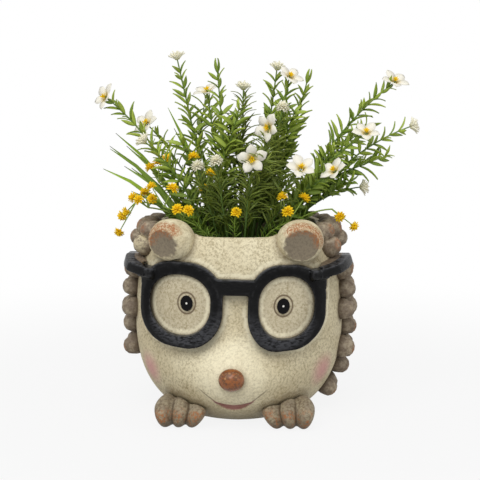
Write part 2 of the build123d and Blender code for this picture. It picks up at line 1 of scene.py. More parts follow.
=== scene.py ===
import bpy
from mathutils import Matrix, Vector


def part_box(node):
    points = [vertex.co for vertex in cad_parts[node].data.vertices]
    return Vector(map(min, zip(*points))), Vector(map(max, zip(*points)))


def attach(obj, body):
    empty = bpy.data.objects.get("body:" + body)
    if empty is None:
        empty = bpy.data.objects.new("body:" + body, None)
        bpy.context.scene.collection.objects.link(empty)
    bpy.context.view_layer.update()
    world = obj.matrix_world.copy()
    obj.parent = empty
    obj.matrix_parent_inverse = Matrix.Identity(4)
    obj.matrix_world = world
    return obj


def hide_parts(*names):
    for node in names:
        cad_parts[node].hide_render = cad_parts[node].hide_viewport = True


bl_info = {
    "name": "Hedgehog Planter",
    "version": (1, 0, 0),
    "blender": (4, 5, 0),
    "location": "View3D > Sidebar > Planter",
    "description": "Models a hedgehog planter in spectacles, with its planting, around the packed part",
    "category": "Object",
}

import math
import random

import bmesh
import bpy
import numpy as np
from mathutils import Matrix, Vector
from mathutils.bvhtree import BVHTree

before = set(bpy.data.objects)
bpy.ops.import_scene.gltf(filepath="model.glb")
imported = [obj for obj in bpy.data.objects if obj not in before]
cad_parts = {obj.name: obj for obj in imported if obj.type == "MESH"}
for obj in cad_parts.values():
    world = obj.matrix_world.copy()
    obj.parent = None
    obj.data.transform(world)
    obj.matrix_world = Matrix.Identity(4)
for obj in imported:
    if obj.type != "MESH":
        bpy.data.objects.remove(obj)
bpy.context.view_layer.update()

MM = 0.001

# Foam and stems, in millimetres
FOAM_TOP_Z = 120
STEM_RISE = 14
STEM_IN_FOAM = 28
STEM_UPRIGHT = 1.5
STEM_STRAIGHT = math.radians(18)
STEM_FOOT_SHARES = (0.26, 0.7)
GRASS_FOOT_SHARES = (0.3, 0.8)

# Tips of the white-flowered sprays and what each ends in, in millimetres
SPRAYS = [
    ((-117, 5, 270), "flower"),
    ((-55, 15, 303), "bud"),
    ((-28, 5, 275), "flower"),
    ((-18, -8, 291), "leaf"),
    ((3, 12, 277), "bud"),
    ((32, 22, 294), "bud"),
    ((43, 8, 288), "flower"),
    ((58, 14, 282), "leaf"),
    ((135, 16, 283), "flower"),
    ((148, 2, 245), "bud"),
    ((110, -12, 240), "flower"),
    ((-84, 26, 246), "flower"),
    ((-79, -25, 233), "bud"),
    ((106, 6, 192), "bud"),
    ((37, -12, 259), "bud"),
    ((27, -29, 247), "flower"),
    ((13, -46, 222), "flower"),
    ((55, -36, 212), "flower"),
    ((84, -28, 209), "flower"),
    ((-33, -29, 210), "bud"),
    ((-17, -38, 215), "bud"),
]

# Yellow sprigs: the fork of each and the balls on its twigs, in millimetres
SPRIGS = [
    ((-69, -6, 196), [(-77, -6, 210), (-70, -3, 214), (-62, -9, 218)]),
    ((-62, -33, 178), [(-73, -33, 196), (-54, -35, 195)]),
    ((-78, -12, 175), [(-92, -11, 184), (-86, -19, 183), (-82, -4, 188), (-73, -21, 184)]),
    ((-92, 14, 177), [(-101, 14, 168), (-106, 22, 163), (-106, 2, 151)]),
    ((-46, -38, 168), [(-50, -44, 178), (-40, -44, 177)]),
    ((-31, -16, 186), [(-29, -18, 193), (-24, -6, 205), (-39, -10, 220)]),
    ((-2, -40, 166), [(0, -46, 176)]),
    ((43, -38, 166), [(38, -40, 189), (57, -31, 187), (43, -46, 177)]),
    ((80, -24, 176), [(87, -31, 170), (99, -22, 161)]),
]

# Tips of the blades of grass, in millimetres
GRASS_TIPS = [
    (-108, 18, 236),
    (-108, -17, 227),
    (-114, 24, 222),
    (-118, 8, 206),
    (-64, 34, 257),
    (-44, 26, 247),
    (75, 30, 208),
    (109, 20, 219),
    (-30, 38, 221),
    (-8, 38, 213),
    (22, 36, 232),
]

# Which way the flowers look that turn from their stems, by the number of the spray
FLOWER_FACES = {
    1: (-0.7, -0.6, 0.4),
    3: (-0.2, -0.3, 0.9),
    7: (0.4, -0.5, 0.7),
    9: (0.3, -0.5, 0.8),
    12: (-0.4, -0.6, 0.6),
    11: (0.1, -0.55, 0.8),
    16: (-0.55, -0.8, 0.05),
    17: (0.12, -1.0, -0.05),
    18: (0.05, -0.7, 0.7),
    19: (-0.55, -0.5, 0.65),
}

# Sprays with fine feathery leaves; the others have leaves like lances
FEATHERY = (5, 15, 16, 17, 18, 20, 21)

# Where the side shoots leave the outer sprays, as shares of the stem
USUAL_SHOOTS = (0.48, 0.62)
SHOOTS = {
    1: (),
    9: (0.42, 0.56),
    10: (0.45, 0.6),
    11: (0.42, 0.58),
    12: (),
    13: (),
    14: (0.5,),
    19: (0.45, 0.6),
}

# Sprays whose cream head is a full ball; the others end in a tuft
BALL_HEADS = (15, 20, 21)

# Shares of a thin blade from foot to tip: width and height of the arch
LEAF_STATIONS = [(0.2, 0.0), (0.78, 0.035), (1.0, 0.05), (0.9, 0.03), (0.55, -0.02), (0.04, -0.09)]
PETAL_STATIONS = [(0.24, 0.0), (0.5, 0.03), (0.88, 0.04), (1.0, 0.0), (0.8, -0.07), (0.12, -0.17)]
FINE_STATIONS = [(0.3, 0.0), (0.9, 0.1), (1.0, 0.14), (0.8, 0.1), (0.4, 0.0), (0.05, -0.16)]
FLORET_STATIONS = [(0.45, 0.0), (0.8, 0.04), (0.9, 0.03), (0.25, -0.06)]
GRASS_STATIONS = [(0.8, 0.0), (1.0, 0.0), (1.0, 0.0), (0.95, 0.0), (0.8, 0.0), (0.55, 0.0), (0.04, 0.0)]

# Opening of a rim, in millimetres: its middle, half sizes, corner and roll
LENS_MIDDLE = (43.8, 101.5)
LENS_HALF = (24.55, 25.7)
LENS_CORNER = 22.9
LENS_ROLL = math.radians(1.2)

# How far the lens side of each rim hangs at its top, left and right, in millimetres
RIM_DROOP = (2.6, 1.2)

# Rays that see a white room
SEEN_RAYS = ("Is Camera Ray", "Is Glossy Ray", "Is Transmission Ray")

# How far the painted front and the arms lean to one side, across the face, in millimetres
SIDE_LEAN = ([-78, -70, -20, -10, 10, 20, 68, 78], [-2.7, -3.2, -0.6, 0.6, 1.2, 0.6, -3.0, -2.3])
FACE_SLOPE = ([-76, -45, 0, 45, 76], [-1.0, -0.35, 0.0, 0.35, 1.0])

# Block where a rim runs into its arm, in millimetres: its middle and its size along, off and up the face
CORNER_MIDDLE = (70.4, -54.4, 125.5)
CORNER_SIZE = (20, 13.6, 9.0)

# Along an arm from the rim to its tip, in millimetres: the height of its middle, and how far it sits off that
ARM_LINE = ([-60, -4, 4, 26], [121.6, 137.7, 137.0, 128.0])
ARM_SWAY = ([-62, -40, -20, -8, 0, 26], [5.5, 2.5, -0.5, -5.5, -7.5, -4.0])
ARM_SLIM = 0.85

PUPILS = {"pupil_left": (-40.0, 102.3), "pupil_right": (40.0, 100.7)}
EAR_MIDDLE = (54.0, -55.7, 153.0)
EAR_RADIUS = 20.5
EAR_FRONT_RADIUS = 18.0
EAR_CAST_YAW = math.radians(45)
EAR_CAST_SPREAD = math.radians(78)
EAR_DISH = 1.3
EAR_SQUAT = 0.87

# Each ear: its side, the yaw and the nod of its dished face, and how far that is from
# the middle of the ball, in millimetres
EARS = {
    "ear_left": (-1, math.radians(29), math.radians(9), 13.0),
    "ear_right": (1, math.radians(11), math.radians(12), 12.0),
}
NOSE_SHIFT = (-0.8, 0.3, 1.8)
PAWS = {"paw_left": -1, "paw_right": 1}
TOE_GAP = 7.2
PAW_SQUAT = 0.84
QUILL_ROWS = [f"quill_row_{row}" for row in range(1, 10)]

# Quills beside the ears: foot and direction, in millimetres
EAR_QUILLS = [((76, -27, 144), (0.84, -0.42, 0.34)), ((81, -7, 148), (0.93, -0.1, 0.34))]

# The coat is bare low on the left, below these limits in x, y and z, in millimetres
BARE_CORNER = (-60, 24, 42)
QUILL_DROOP = Vector((0, 0, -0.12))

# Middle of the quill that is left pale, in millimetres
PALE_QUILL = (-83.0, -30.5, 147.0)


def paint(red, green, blue):
    """A colour as read off a paint card, 0 to 255, in the linear values that shaders use."""

    def linear(value):
        value /= 255
        return value / 12.92 if value <= 0.04045 else ((value + 0.055) / 1.055) ** 2.4

    return (linear(red), linear(green), linear(blue))


def darker(colour, share=0.6):
    """A colour with less light in it."""
    return tuple(value * share for value in colour)


def colour_prop(name, description, *shade):
    return bpy.props.FloatVectorProperty(
        name=name, description=description, subtype="COLOR", size=3, min=0, max=1, default=paint(*shade)
    )


def length_prop(name, description, millimetres):
    return bpy.props.FloatProperty(
        name=name, description=description, unit="LENGTH", subtype="DISTANCE", min=0, default=millimetres * MM
    )


class CastingProps(bpy.types.PropertyGroup):
    """Colours of the cast pot, and how finely its pieces are reskinned."""

    clay: colour_prop("Clay", "Cream of the face", 216, 203, 168)
    # Pale Clay is also the colour of the painted highlight on the muzzle and the brow.
    pale: colour_prop("Pale Clay", "Worn light cream of the muzzle", 249, 240, 208)
    # Mottle is also the colour of the painted shade under the chin.
    mottle: colour_prop("Mottle", "Olive brown of the speckle and the cracks", 140, 122, 82)
    # Stain is the brown of the real speckle, and also of painted shade in the creases, beside the quills, at
    # the feet of the quills and low on the paws.
    stain_and_shade: colour_prop("Stain", "Brown that settles in the creases", 96, 78, 56)
    bare: colour_prop("Bare Clay", "Grey inside of the bowl and the ears", 138, 126, 106)
    blush: colour_prop("Blush", "Pink of the cheeks", 212, 138, 146)
    lips: colour_prop("Lips", "Brown pink of the mouth", 172, 112, 108)
    rust: colour_prop("Rust", "Orange brown on the ears, the toes and the quills", 164, 104, 60)
    lens: colour_prop("Lens Clay", "Grey cream of the face behind the lenses", 196, 186, 162)
    quill: colour_prop("Quill", "Grey brown of the coat", 134, 120, 104)
    quill_worn: colour_prop("Worn Quill", "Cream where the coat is rubbed", 186, 172, 148)
    frame_black: colour_prop("Spectacles", "Black of the spectacles", 9, 9, 10)
    nose_brown: colour_prop("Nose", "Burnt orange of the nose", 152, 88, 38)
    body_grain: length_prop("Body Grain", "Size of the mesh cells of the body", 1.58)
    piece_grain: length_prop("Piece Grain", "Size of the mesh cells of ears, paws and spectacles", 0.8)
    rim_slope: length_prop("Rim Slope", "How far the rims fall towards the lens", 3.2)
    quill_radius: length_prop("Quill Radius", "Half the width of a quill", 9.4)
    quill_height: length_prop("Quill Height", "How far a quill stands off the skin", 13.2)


class PlantingProps(bpy.types.PropertyGroup):
    """Sizes and colours of the planting."""

    leaf_length: length_prop("Leaf Length", "Length of a full leaf", 18.5)
    leaf_width: length_prop("Leaf Width", "Width of a full leaf", 4.0)
    leaf_pitch: length_prop("Leaf Pitch", "Distance from one whorl of leaves to the next", 7.0)
    stem_radius: length_prop("Stem Radius", "Half the thickness of a stem at its foot", 1.2)
    twig_radius: length_prop("Twig Radius", "Half the thickness of a twig", 0.7)
    petal_length: length_prop("Petal Length", "Length of a white petal", 12)
    petal_width: length_prop("Petal Width", "Width of a white petal", 8.8)
    bud_radius: length_prop("Bud Radius", "Radius of a cream head", 6)
    pompon_radius: length_prop("Pompon Radius", "Radius of a yellow head", 4.3)
    grass_width: length_prop("Grass Width", "Width of a blade of grass", 5.2)
    # Dark Leaf is also the green of the painted shade low in the planting.
    leaf_dark: colour_prop("Dark Leaf", "Green of the old leaves", 86, 120, 30)
    leaf_light: colour_prop("Light Leaf", "Green of the young leaves", 180, 198, 80)
    stem_green: colour_prop("Stem", "Green of the stems", 118, 146, 62)
    grass_green: colour_prop("Grass", "Green of the grass", 164, 198, 58)
    petal_white: colour_prop("Petal", "White of the petals", 246, 243, 232)
    cream: colour_prop("Cream", "Cream of the round heads", 252, 248, 226)
    olive: colour_prop("Feathery Leaf", "Olive of the fine leaves", 150, 164, 66)
    yellow: colour_prop("Yellow", "Yellow of the small heads and the stamens", 255, 218, 26)
    foam_green: colour_prop("Foam", "Green of the foam", 62, 84, 46)


class StageProps(bpy.types.PropertyGroup):
    """Floor, light and camera."""

    floor: colour_prop("Floor", "Colour of the floor", 190, 190, 190)
    sky: bpy.props.FloatProperty(
        name="Sky", description="Strength of the light from all round", default=0.52, min=0
    )
    key: bpy.props.FloatProperty(
        name="Key", description="Power of the large lamp in front", default=29, min=0
    )
    fill: bpy.props.FloatProperty(name="Fill", description="Power of the lamp at the side", default=4, min=0)
    azimuth: bpy.props.FloatProperty(
        name="Azimuth",
        description="Turn of the camera round the pot",
        subtype="ANGLE",
        default=math.radians(2.93),
    )
    elevation: bpy.props.FloatProperty(
        name="Elevation", description="Height angle of the camera", subtype="ANGLE", default=math.radians(8)
    )
    distance: length_prop("Distance", "From the camera to the middle of the picture", 1100)
    lens: bpy.props.FloatProperty(
        name="Lens", description="Focal length", subtype="DISTANCE_CAMERA", default=94.5, min=1
    )


class Shade:
    """A socket of a finish: arithmetic on it adds Math nodes."""

    def __init__(self, finish, socket):
        self.finish = finish
        self.socket = socket

    def maths(self, operation, first, second=0.0):
        return self.finish.node("ShaderNodeMath", {"operation": operation}, {0: first, 1: second})

    def __add__(self, other):
        return self.maths("ADD", self, other)

    def __sub__(self, other):
        return self.maths("SUBTRACT", self, other)

    def __rsub__(self, other):
        return self.maths("SUBTRACT", other, self)

    def __mul__(self, other):
        return self.maths("MULTIPLY", self, other)

    def __truediv__(self, other):
        return self.maths("DIVIDE", self, other)

    def __pow__(self, other):
        return self.maths("POWER", self, other)

    def __abs__(self):
        return self.maths("ABSOLUTE", self)

    __radd__ = __add__
    __rmul__ = __mul__

    def most(self, other):
        return self.maths("MAXIMUM", self, other)

    def least(self, other):
        return self.maths("MINIMUM", self, other)


class Finish:
    """A material on Object coordinates, built up from shades."""

    def __init__(self, name, **settings):
        self.material = bpy.data.materials.new(name)
        self.material.use_nodes = True
        self.tree = self.material.node_tree
        self.shader = next(node for node in self.tree.nodes if node.type == "BSDF_PRINCIPLED")
        for socket, value in settings.items():
            self.shader.inputs[socket.replace("_", " ")].default_value = value
        self.place = self.node("ShaderNodeTexCoord", output="Object")

    def feed(self, socket, value):
        if isinstance(value, Shade):
            self.tree.links.new(value.socket, socket)
        elif socket.type == "RGBA" and len(value) == 3:
            socket.default_value = (*value, 1)
        else:
            socket.default_value = value

    def node(self, kind, settings=None, sockets=None, output=0):
        """Any node: its settings first, then the values or links of its sockets."""
        made = self.tree.nodes.new(kind)
        for key, value in (settings or {}).items():
            setattr(made, key, value)
        for key, value in (sockets or {}).items():
            self.feed(made.inputs[key], value)
        return Shade(self, made.outputs[output])

    def axes(self):
        """X, Y and Z of the surface in millimetres."""
        split = self.node("ShaderNodeSeparateXYZ", sockets={0: self.place})
        ends = split.socket.node.outputs
        return [Shade(self, end) * 1000 for end in ends]

    def noise(self, size, detail=3.0, rough=0.55, at=None):
        """Soft noise from 0 to 1, with lumps of a size in millimetres."""
        sockets = {"Vector": at or self.place, "Scale": 1000 / size, "Detail": detail, "Roughness": rough}
        return self.node("ShaderNodeTexNoise", sockets=sockets)

    def cracks(self, size, width):
        """A net of fine lines: 1 on a line, with cells of a size in millimetres."""
        bent = self.bend(size * 0.35, size * 1.2)
        sockets = {"Vector": bent, "Scale": 1000 / size}
        edge = self.node("ShaderNodeTexVoronoi", {"feature": "DISTANCE_TO_EDGE"}, sockets)
        return 1 - self.step(edge, 0.0, width / size)

    def bend(self, amount, size):
        """Object coordinates pushed about by noise, in millimetres."""
        push = self.node(
            "ShaderNodeTexNoise",
            sockets={"Vector": self.place, "Scale": 1000 / size, "Detail": 2.0},
            output="Color",
        )
        middle = self.node("ShaderNodeVectorMath", {"operation": "SUBTRACT"}, {0: push, 1: (0.5, 0.5, 0.5)})
        sockets = {0: middle, "Scale": 2 * amount * MM}
        small = self.node("ShaderNodeVectorMath", {"operation": "SCALE"}, sockets)
        return self.node("ShaderNodeVectorMath", {"operation": "ADD"}, {0: self.place, 1: small})

    def step(self, value, low, high):
        """A soft step: 0 below low, 1 above high."""
        sockets = {"Value": value, "From Min": low, "From Max": high}
        return self.node("ShaderNodeMapRange", {"interpolation_type": "SMOOTHSTEP"}, sockets)

    def spot(self, middle, inner, outer):
        """1 inside a ball round a point, 0 outside a larger one, in millimetres."""
        point = tuple(value * MM for value in middle)
        ends = {0: self.place, 1: point}
        gap = self.node("ShaderNodeVectorMath", {"operation": "DISTANCE"}, ends, output="Value")
        return 1 - self.step(gap, inner * MM, outer * MM)

    def mark(self, name):
        """A value that the mesh carries at each vertex."""
        return self.node("ShaderNodeAttribute", {"attribute_name": name}, output="Fac")

    def mix(self, share, low, high):
        """From one colour to another."""
        return self.node("ShaderNodeMix", {"data_type": "RGBA"}, {0: share, 6: low, 7: high}, output=2)

    def bump(self, height, distance, strength=1.0):
        sockets = {"Height": height, "Distance": distance * MM, "Strength": strength}
        self.feed(self.shader.inputs["Normal"], self.node("ShaderNodeBump", sockets=sockets))

    def show(self, colour, roughness=None):
        self.feed(self.shader.inputs["Base Color"], colour)
        if roughness is not None:
            self.feed(self.shader.inputs["Roughness"], roughness)
        return self.material


def take(obj):
    """Makes one object the only selected one, and the active one."""
    bpy.ops.object.select_all(action="DESELECT")
    obj.select_set(True)
    bpy.context.view_layer.objects.active = obj


def modify(obj, kind, **settings):
    """Adds a modifier and applies it."""
    take(obj)
    bpy.ops.object.modifier_add(type=kind)
    modifier = obj.modifiers[-1]
    for key, value in settings.items():
        setattr(modifier, key, value)
    bpy.ops.object.modifier_apply(modifier=modifier.name)


def settle(obj, material, body, slot, *nodes):
    """Gives a finished piece its material and its body, and hides the nodes that it stands for; the slot is
    not used.
    """
    if material:
        obj.data.materials.clear()
        obj.data.materials.append(material)
    take(obj)
    bpy.ops.object.shade_smooth()
    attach(obj, body)
    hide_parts(*nodes)
    return obj


def link(name, mesh):
    obj = bpy.data.objects.new(name, mesh)
    bpy.context.scene.collection.objects.link(obj)
    return obj


def copy_node(node, name):
    """A merged copy of a CAD node's mesh."""
    obj = link(name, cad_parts[node].data.copy())
    obj.data.materials.clear()
    take(obj)
    bpy.ops.object.mode_set(mode="EDIT")
    bpy.ops.mesh.select_all(action="SELECT")
    bpy.ops.mesh.remove_doubles(threshold=0.005 * MM)
    bpy.ops.object.mode_set(mode="OBJECT")
    return obj


def reskin(node, name, grain, rounds):
    """A copy of a CAD node with an even mesh and soft edges, as a cast piece has."""
    obj = copy_node(node, name)
    modify(obj, "REMESH", mode="VOXEL", voxel_size=grain, adaptivity=0)
    modify(obj, "SMOOTH", factor=0.5, iterations=rounds)
    return obj


def points_of(mesh):
    points = np.empty(len(mesh.vertices) * 3)
    mesh.vertices.foreach_get("co", points)
    return points.reshape(-1, 3)


def normals_of(mesh):
    normals = np.empty(len(mesh.vertices) * 3)
    mesh.vertex_normals.foreach_get("vector", normals)
    return normals.reshape(-1, 3)


def cast_meshes(*nodes):
    return [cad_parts[node].data for node in nodes]


def nearness(obj, meshes, reach):
    """How near each vertex is to other meshes: 1 in contact, 0 at the reach and beyond."""
    points, polygons = [], []
    for mesh in meshes:
        start = len(points)
        points.extend(vertex.co for vertex in mesh.vertices)
        polygons.extend([start + corner for corner in polygon.vertices] for polygon in mesh.polygons)
    tree = BVHTree.FromPolygons(points, polygons)
    near = np.zeros(len(obj.data.vertices))
    for index, vertex in enumerate(obj.data.vertices):
        found = tree.find_nearest(vertex.co, reach)
        if found[0] is not None:
            near[index] = 1 - found[3] / reach
    return near


def ridges(obj, height):
    """1 where the surface turns over a ridge of a height, 0 where it is flat or hollow."""
    edges = np.empty(len(obj.data.edges) * 2, int)
    obj.data.edges.foreach_get("vertices", edges)
    edges = edges.reshape(-1, 2)
    points = points_of(obj.data)
    total, count = np.zeros_like(points), np.zeros(len(points))
    for near, far in ((0, 1), (1, 0)):
        np.add.at(total, edges[:, near], points[edges[:, far]])
        np.add.at(count, edges[:, near], 1)
    proud = ((points - total / count[:, None]) * normals_of(obj.data)).sum(axis=1)
    return np.clip(proud / height, 0, 1)


def write_mark(obj, name, values):
    mark = obj.data.attributes.new(name, "FLOAT", "POINT")
    mark.data.foreach_set("value", np.asarray(values, np.float32))


def move_points(obj, points):
    obj.data.vertices.foreach_set("co", np.asarray(points, np.float32).ravel())
    obj.data.update()


def select_where(obj, test):
    """In edit mode, selects the vertices whose place passes a test."""
    bpy.ops.mesh.select_all(action="DESELECT")
    shape = bmesh.from_edit_mesh(obj.data)
    for vertex in shape.verts:
        vertex.select = bool(test(vertex.co))
    shape.select_flush_mode()
    bmesh.update_edit_mesh(obj.data)


class Shape:
    """A small modelled shape that is copied many times: points, faces and the share from foot to tip."""

    def __init__(self, points, faces, shares):
        self.points = np.asarray(points)
        self.faces = faces
        self.shares = np.asarray(shares)

    @classmethod
    def of(cls, obj, axis=0):
        """Reads a modelled object, and takes it off the scene."""
        points = points_of(obj.data)
        faces = [tuple(polygon.vertices) for polygon in obj.data.polygons]
        low, high = points[:, axis].min(), points[:, axis].max()
        shares = (points[:, axis] - low) / (high - low)
        mesh = obj.data
        bpy.data.objects.remove(obj)
        bpy.data.meshes.remove(mesh)
        return cls(points, faces, shares)


class Cluster:
    """Copies of shapes gathered into one mesh, each with its own tint."""

    def __init__(self):
        self.points, self.faces, self.slots = [], [], []
        self.tints, self.shares = [], []
        self.count = 0

    def add(self, shape, place=None, tint=0.5, slot=0):
        points = shape.points
        if place is not None:
            turn = np.array(place)
            points = points @ turn[:3, :3].T + turn[:3, 3]
        self.points.append(points)
        self.faces.extend(tuple(corner + self.count for corner in face) for face in shape.faces)
        self.slots.extend([slot] * len(shape.faces))
        self.tints.append(np.full(len(points), tint))
        self.shares.append(shape.shares)
        self.count += len(points)

    def build(self, name, *materials):
        mesh = bpy.data.meshes.new(name)
        mesh.from_pydata(np.concatenate(self.points).tolist(), [], self.faces)
        for material in materials:
            mesh.materials.append(material)
        mesh.polygons.foreach_set("material_index", self.slots)
        obj = link(name, mesh)
        write_mark(obj, "tint", np.concatenate(self.tints))
        write_mark(obj, "share", np.concatenate(self.shares))
        return obj


class Run:
    """The run of a stem: straight through the foam, then one bend out to its tip if it leans enough."""

    def __init__(self, tip, shares, rise=STEM_RISE * MM, stiff=STEM_STRAIGHT):
        tip = Vector(tip) * MM
        self.foot = Vector((shares[0] * tip.x, shares[1] * tip.y, FOAM_TOP_Z * MM))
        lean = (tip - self.foot).normalized()
        upright = 0 if lean.z > math.cos(stiff) else STEM_UPRIGHT
        self.way = (Vector((0, 0, upright)) + lean).normalized()
        self.low = self.foot - self.way * STEM_IN_FOAM * MM
        self.bend = self.foot + self.way * rise
        chord = tip - self.bend
        self.turn = max(self.way.angle(chord), 0.001)
        self.radius = chord.length / (2 * math.sin(self.turn))
        self.inward = (chord - self.way * chord.dot(self.way)).normalized()
        self.straight = (self.bend - self.low).length
        self.length = self.straight + self.radius * 2 * self.turn

    def at(self, run):
        """Place and direction at a distance from the low end."""
        if run <= self.straight:
            return self.low + self.way * run, self.way
        angle = (run - self.straight) / self.radius
        across = self.inward * (self.radius * (1 - math.cos(angle)))
        along = self.way * (self.radius * math.sin(angle))
        return self.bend + across + along, self.way * math.cos(angle) + self.inward * math.sin(angle)

    def points(self, pitch, start=0.0):
        count = max(3, int((self.length - start) / pitch))
        return [self.at(start + (self.length - start) * step / count)[0] for step in range(count + 1)]


class Shoot:
    """A short straight side shoot off a stem."""

    def __init__(self, run, share, dice):
        self.root, way = run.at(run.length * share)
        out = Matrix.Rotation(dice.uniform(0, math.tau), 3, way) @ way.orthogonal().normalized()
        lean = math.radians(dice.uniform(16, 30))
        self.way = (way * math.cos(lean) + out * math.sin(lean)).normalized()
        self.length = run.length * dice.uniform(0.2, 0.28)

    def at(self, run):
        return self.root + self.way * run, self.way

    def points(self, pitch):
        count = max(3, int(self.length / pitch))
        return [self.at(self.length * step / count)[0] for step in range(count + 1)]


def model_blade(name, stations, fold, thickness):
    """A thin blade along +X, one unit long and one wide, folded along its middle."""
    bpy.ops.object.select_all(action="DESELECT")
    count = len(stations) - 1
    bpy.ops.mesh.primitive_grid_add(x_subdivisions=count, y_subdivisions=2, size=1, location=(0.5, 0, 0))
    obj = bpy.context.active_object
    obj.name = name
    bpy.ops.object.transform_apply(location=True)
    bpy.ops.object.mode_set(mode="EDIT")
    for number, (width, arch) in enumerate(stations):
        select_where(obj, lambda place: abs(place.x - number / count) < 1e-3)
        bpy.ops.transform.resize(value=(1, width, 1), center_override=(number / count, 0, 0))
        bpy.ops.transform.translate(value=(0, 0, arch))
    select_where(obj, lambda place: abs(place.y) < 1e-4)
    bpy.ops.transform.translate(value=(0, 0, -fold))
    bpy.ops.object.mode_set(mode="OBJECT")
    modify(obj, "SOLIDIFY", thickness=thickness, offset=0)
    return Shape.of(obj)


def floret_ball(cluster, floret, seat, way, length, width, count, spread, dice, slot=0):
    """Florets that stand out from a seat, evenly up to a spread off the way."""
    side = way.orthogonal().normalized()
    for number in range(count):
        rise = 1 - (1 - math.cos(spread)) * (number + 0.5) / count
        tilt = math.acos(rise)
        out = Matrix.Rotation(number * 2.4, 3, way) @ side
        floret_way = (way * math.cos(tilt) + out * math.sin(tilt)).normalized()
        size = dice.uniform(0.85, 1.1)
        top = (way + side * 0.01).normalized()
        place = stand(seat + floret_way * length * 0.15, floret_way, top, length * size * 0.85, width)
        cluster.add(floret, place, dice.random(), slot)


def model_bobble():
    """A blunt round quill on the origin, pointing along +Z, of radius 1 and height 1."""
    bpy.ops.object.select_all(action="DESELECT")
    bpy.ops.mesh.primitive_uv_sphere_add(segments=14, ring_count=10, radius=1)
    obj = bpy.context.active_object
    obj.name = "bobble"
    bpy.ops.object.mode_set(mode="EDIT")
    bpy.ops.mesh.select_all(action="SELECT")
    bpy.ops.mesh.bisect(plane_co=(0, 0, -0.05), plane_no=(0, 0, 1), clear_inner=True, use_fill=True)
    select_where(obj, lambda place: place.z < 0)
    bpy.ops.transform.translate(value=(0, 0, -0.3))
    bpy.ops.transform.resize(value=(0.86, 0.86, 1), center_override=(0, 0, 0))
    select_where(obj, lambda place: place.z > 0.75)
    bpy.ops.transform.resize(value=(1.12, 1.12, 1), center_override=(0, 0, 0))
    bpy.ops.object.mode_set(mode="OBJECT")
    return Shape.of(obj, axis=2)


def stem_shape(points, thick, thin):
    """A round stem along points, from its thick foot to its thin tip."""
    curve = bpy.data.curves.new("stem", "CURVE")
    curve.dimensions = "3D"
    curve.bevel_depth = 1
    curve.bevel_resolution = 1
    curve.use_fill_caps = True
    spline = curve.splines.new("POLY")
    spline.points.add(len(points) - 1)
    for number, point in enumerate(points):
        spline.points[number].co = (*point, 1)
        spline.points[number].radius = thick + (thin - thick) * number / (len(points) - 1)
    obj = link("stem", curve)
    take(obj)
    bpy.ops.object.convert(target="MESH")
    return Shape.of(bpy.context.active_object, axis=2)


def stand(origin, way, up, long, wide):
    """A matrix that stands a shape on a point: its X along the way, its Z towards up."""
    side = up.cross(way).normalized()
    top = way.cross(side)
    turn = Matrix((way * long, side * wide, top * long)).transposed().to_4x4()
    turn.translation = origin
    return turn


def upright(origin, way, radius, height, spin=0.0):
    """A matrix that stands a shape on a point with its Z along the way."""
    turn = way.to_track_quat("Z", "Y").to_matrix() @ Matrix.Rotation(spin, 3, "Z")
    turn = (turn @ Matrix.Diagonal((radius, radius, height))).to_4x4()
    turn.translation = origin
    return turn


def over_pot(point):
    """Whether a point is clear of the pot: over it, or inside the mouth of the bowl."""
    return point.z > 0.182 or (point.x / 0.068) ** 2 + (point.y / 0.05) ** 2 < 1


def dress(cluster, run, shape, dice, start, stop, pitch, long, wide, leaves, slot=0):
    """Whorls of leaves up a stem, shorter towards its tip."""
    at, spin = start, dice.uniform(0, math.tau)
    while at < stop:
        root, way = run.at(at)
        share = at / run.length
        side = way.orthogonal().normalized()
        for leaf in range(leaves):
            turn = spin + leaf * math.tau / leaves + dice.uniform(-0.3, 0.3)
            out = Matrix.Rotation(turn, 3, way) @ side
            lean = math.radians(dice.uniform(36, 66) - 14 * share**4)
            leaf_way = (way * math.cos(lean) + out * math.sin(lean)).normalized()
            size = dice.uniform(0.72, 1.1) * (1 - 0.45 * share**6)
            if over_pot(root + leaf_way * long * size):
                top = Matrix.Rotation(dice.uniform(-1.2, 1.2), 3, leaf_way) @ way
                place = stand(root, leaf_way, top, long * size, wide * (0.4 + 0.6 * size))
                cluster.add(shape, place, dice.random(), slot)
        spin += 2.4
        at += pitch * dice.uniform(0.8, 1.2)


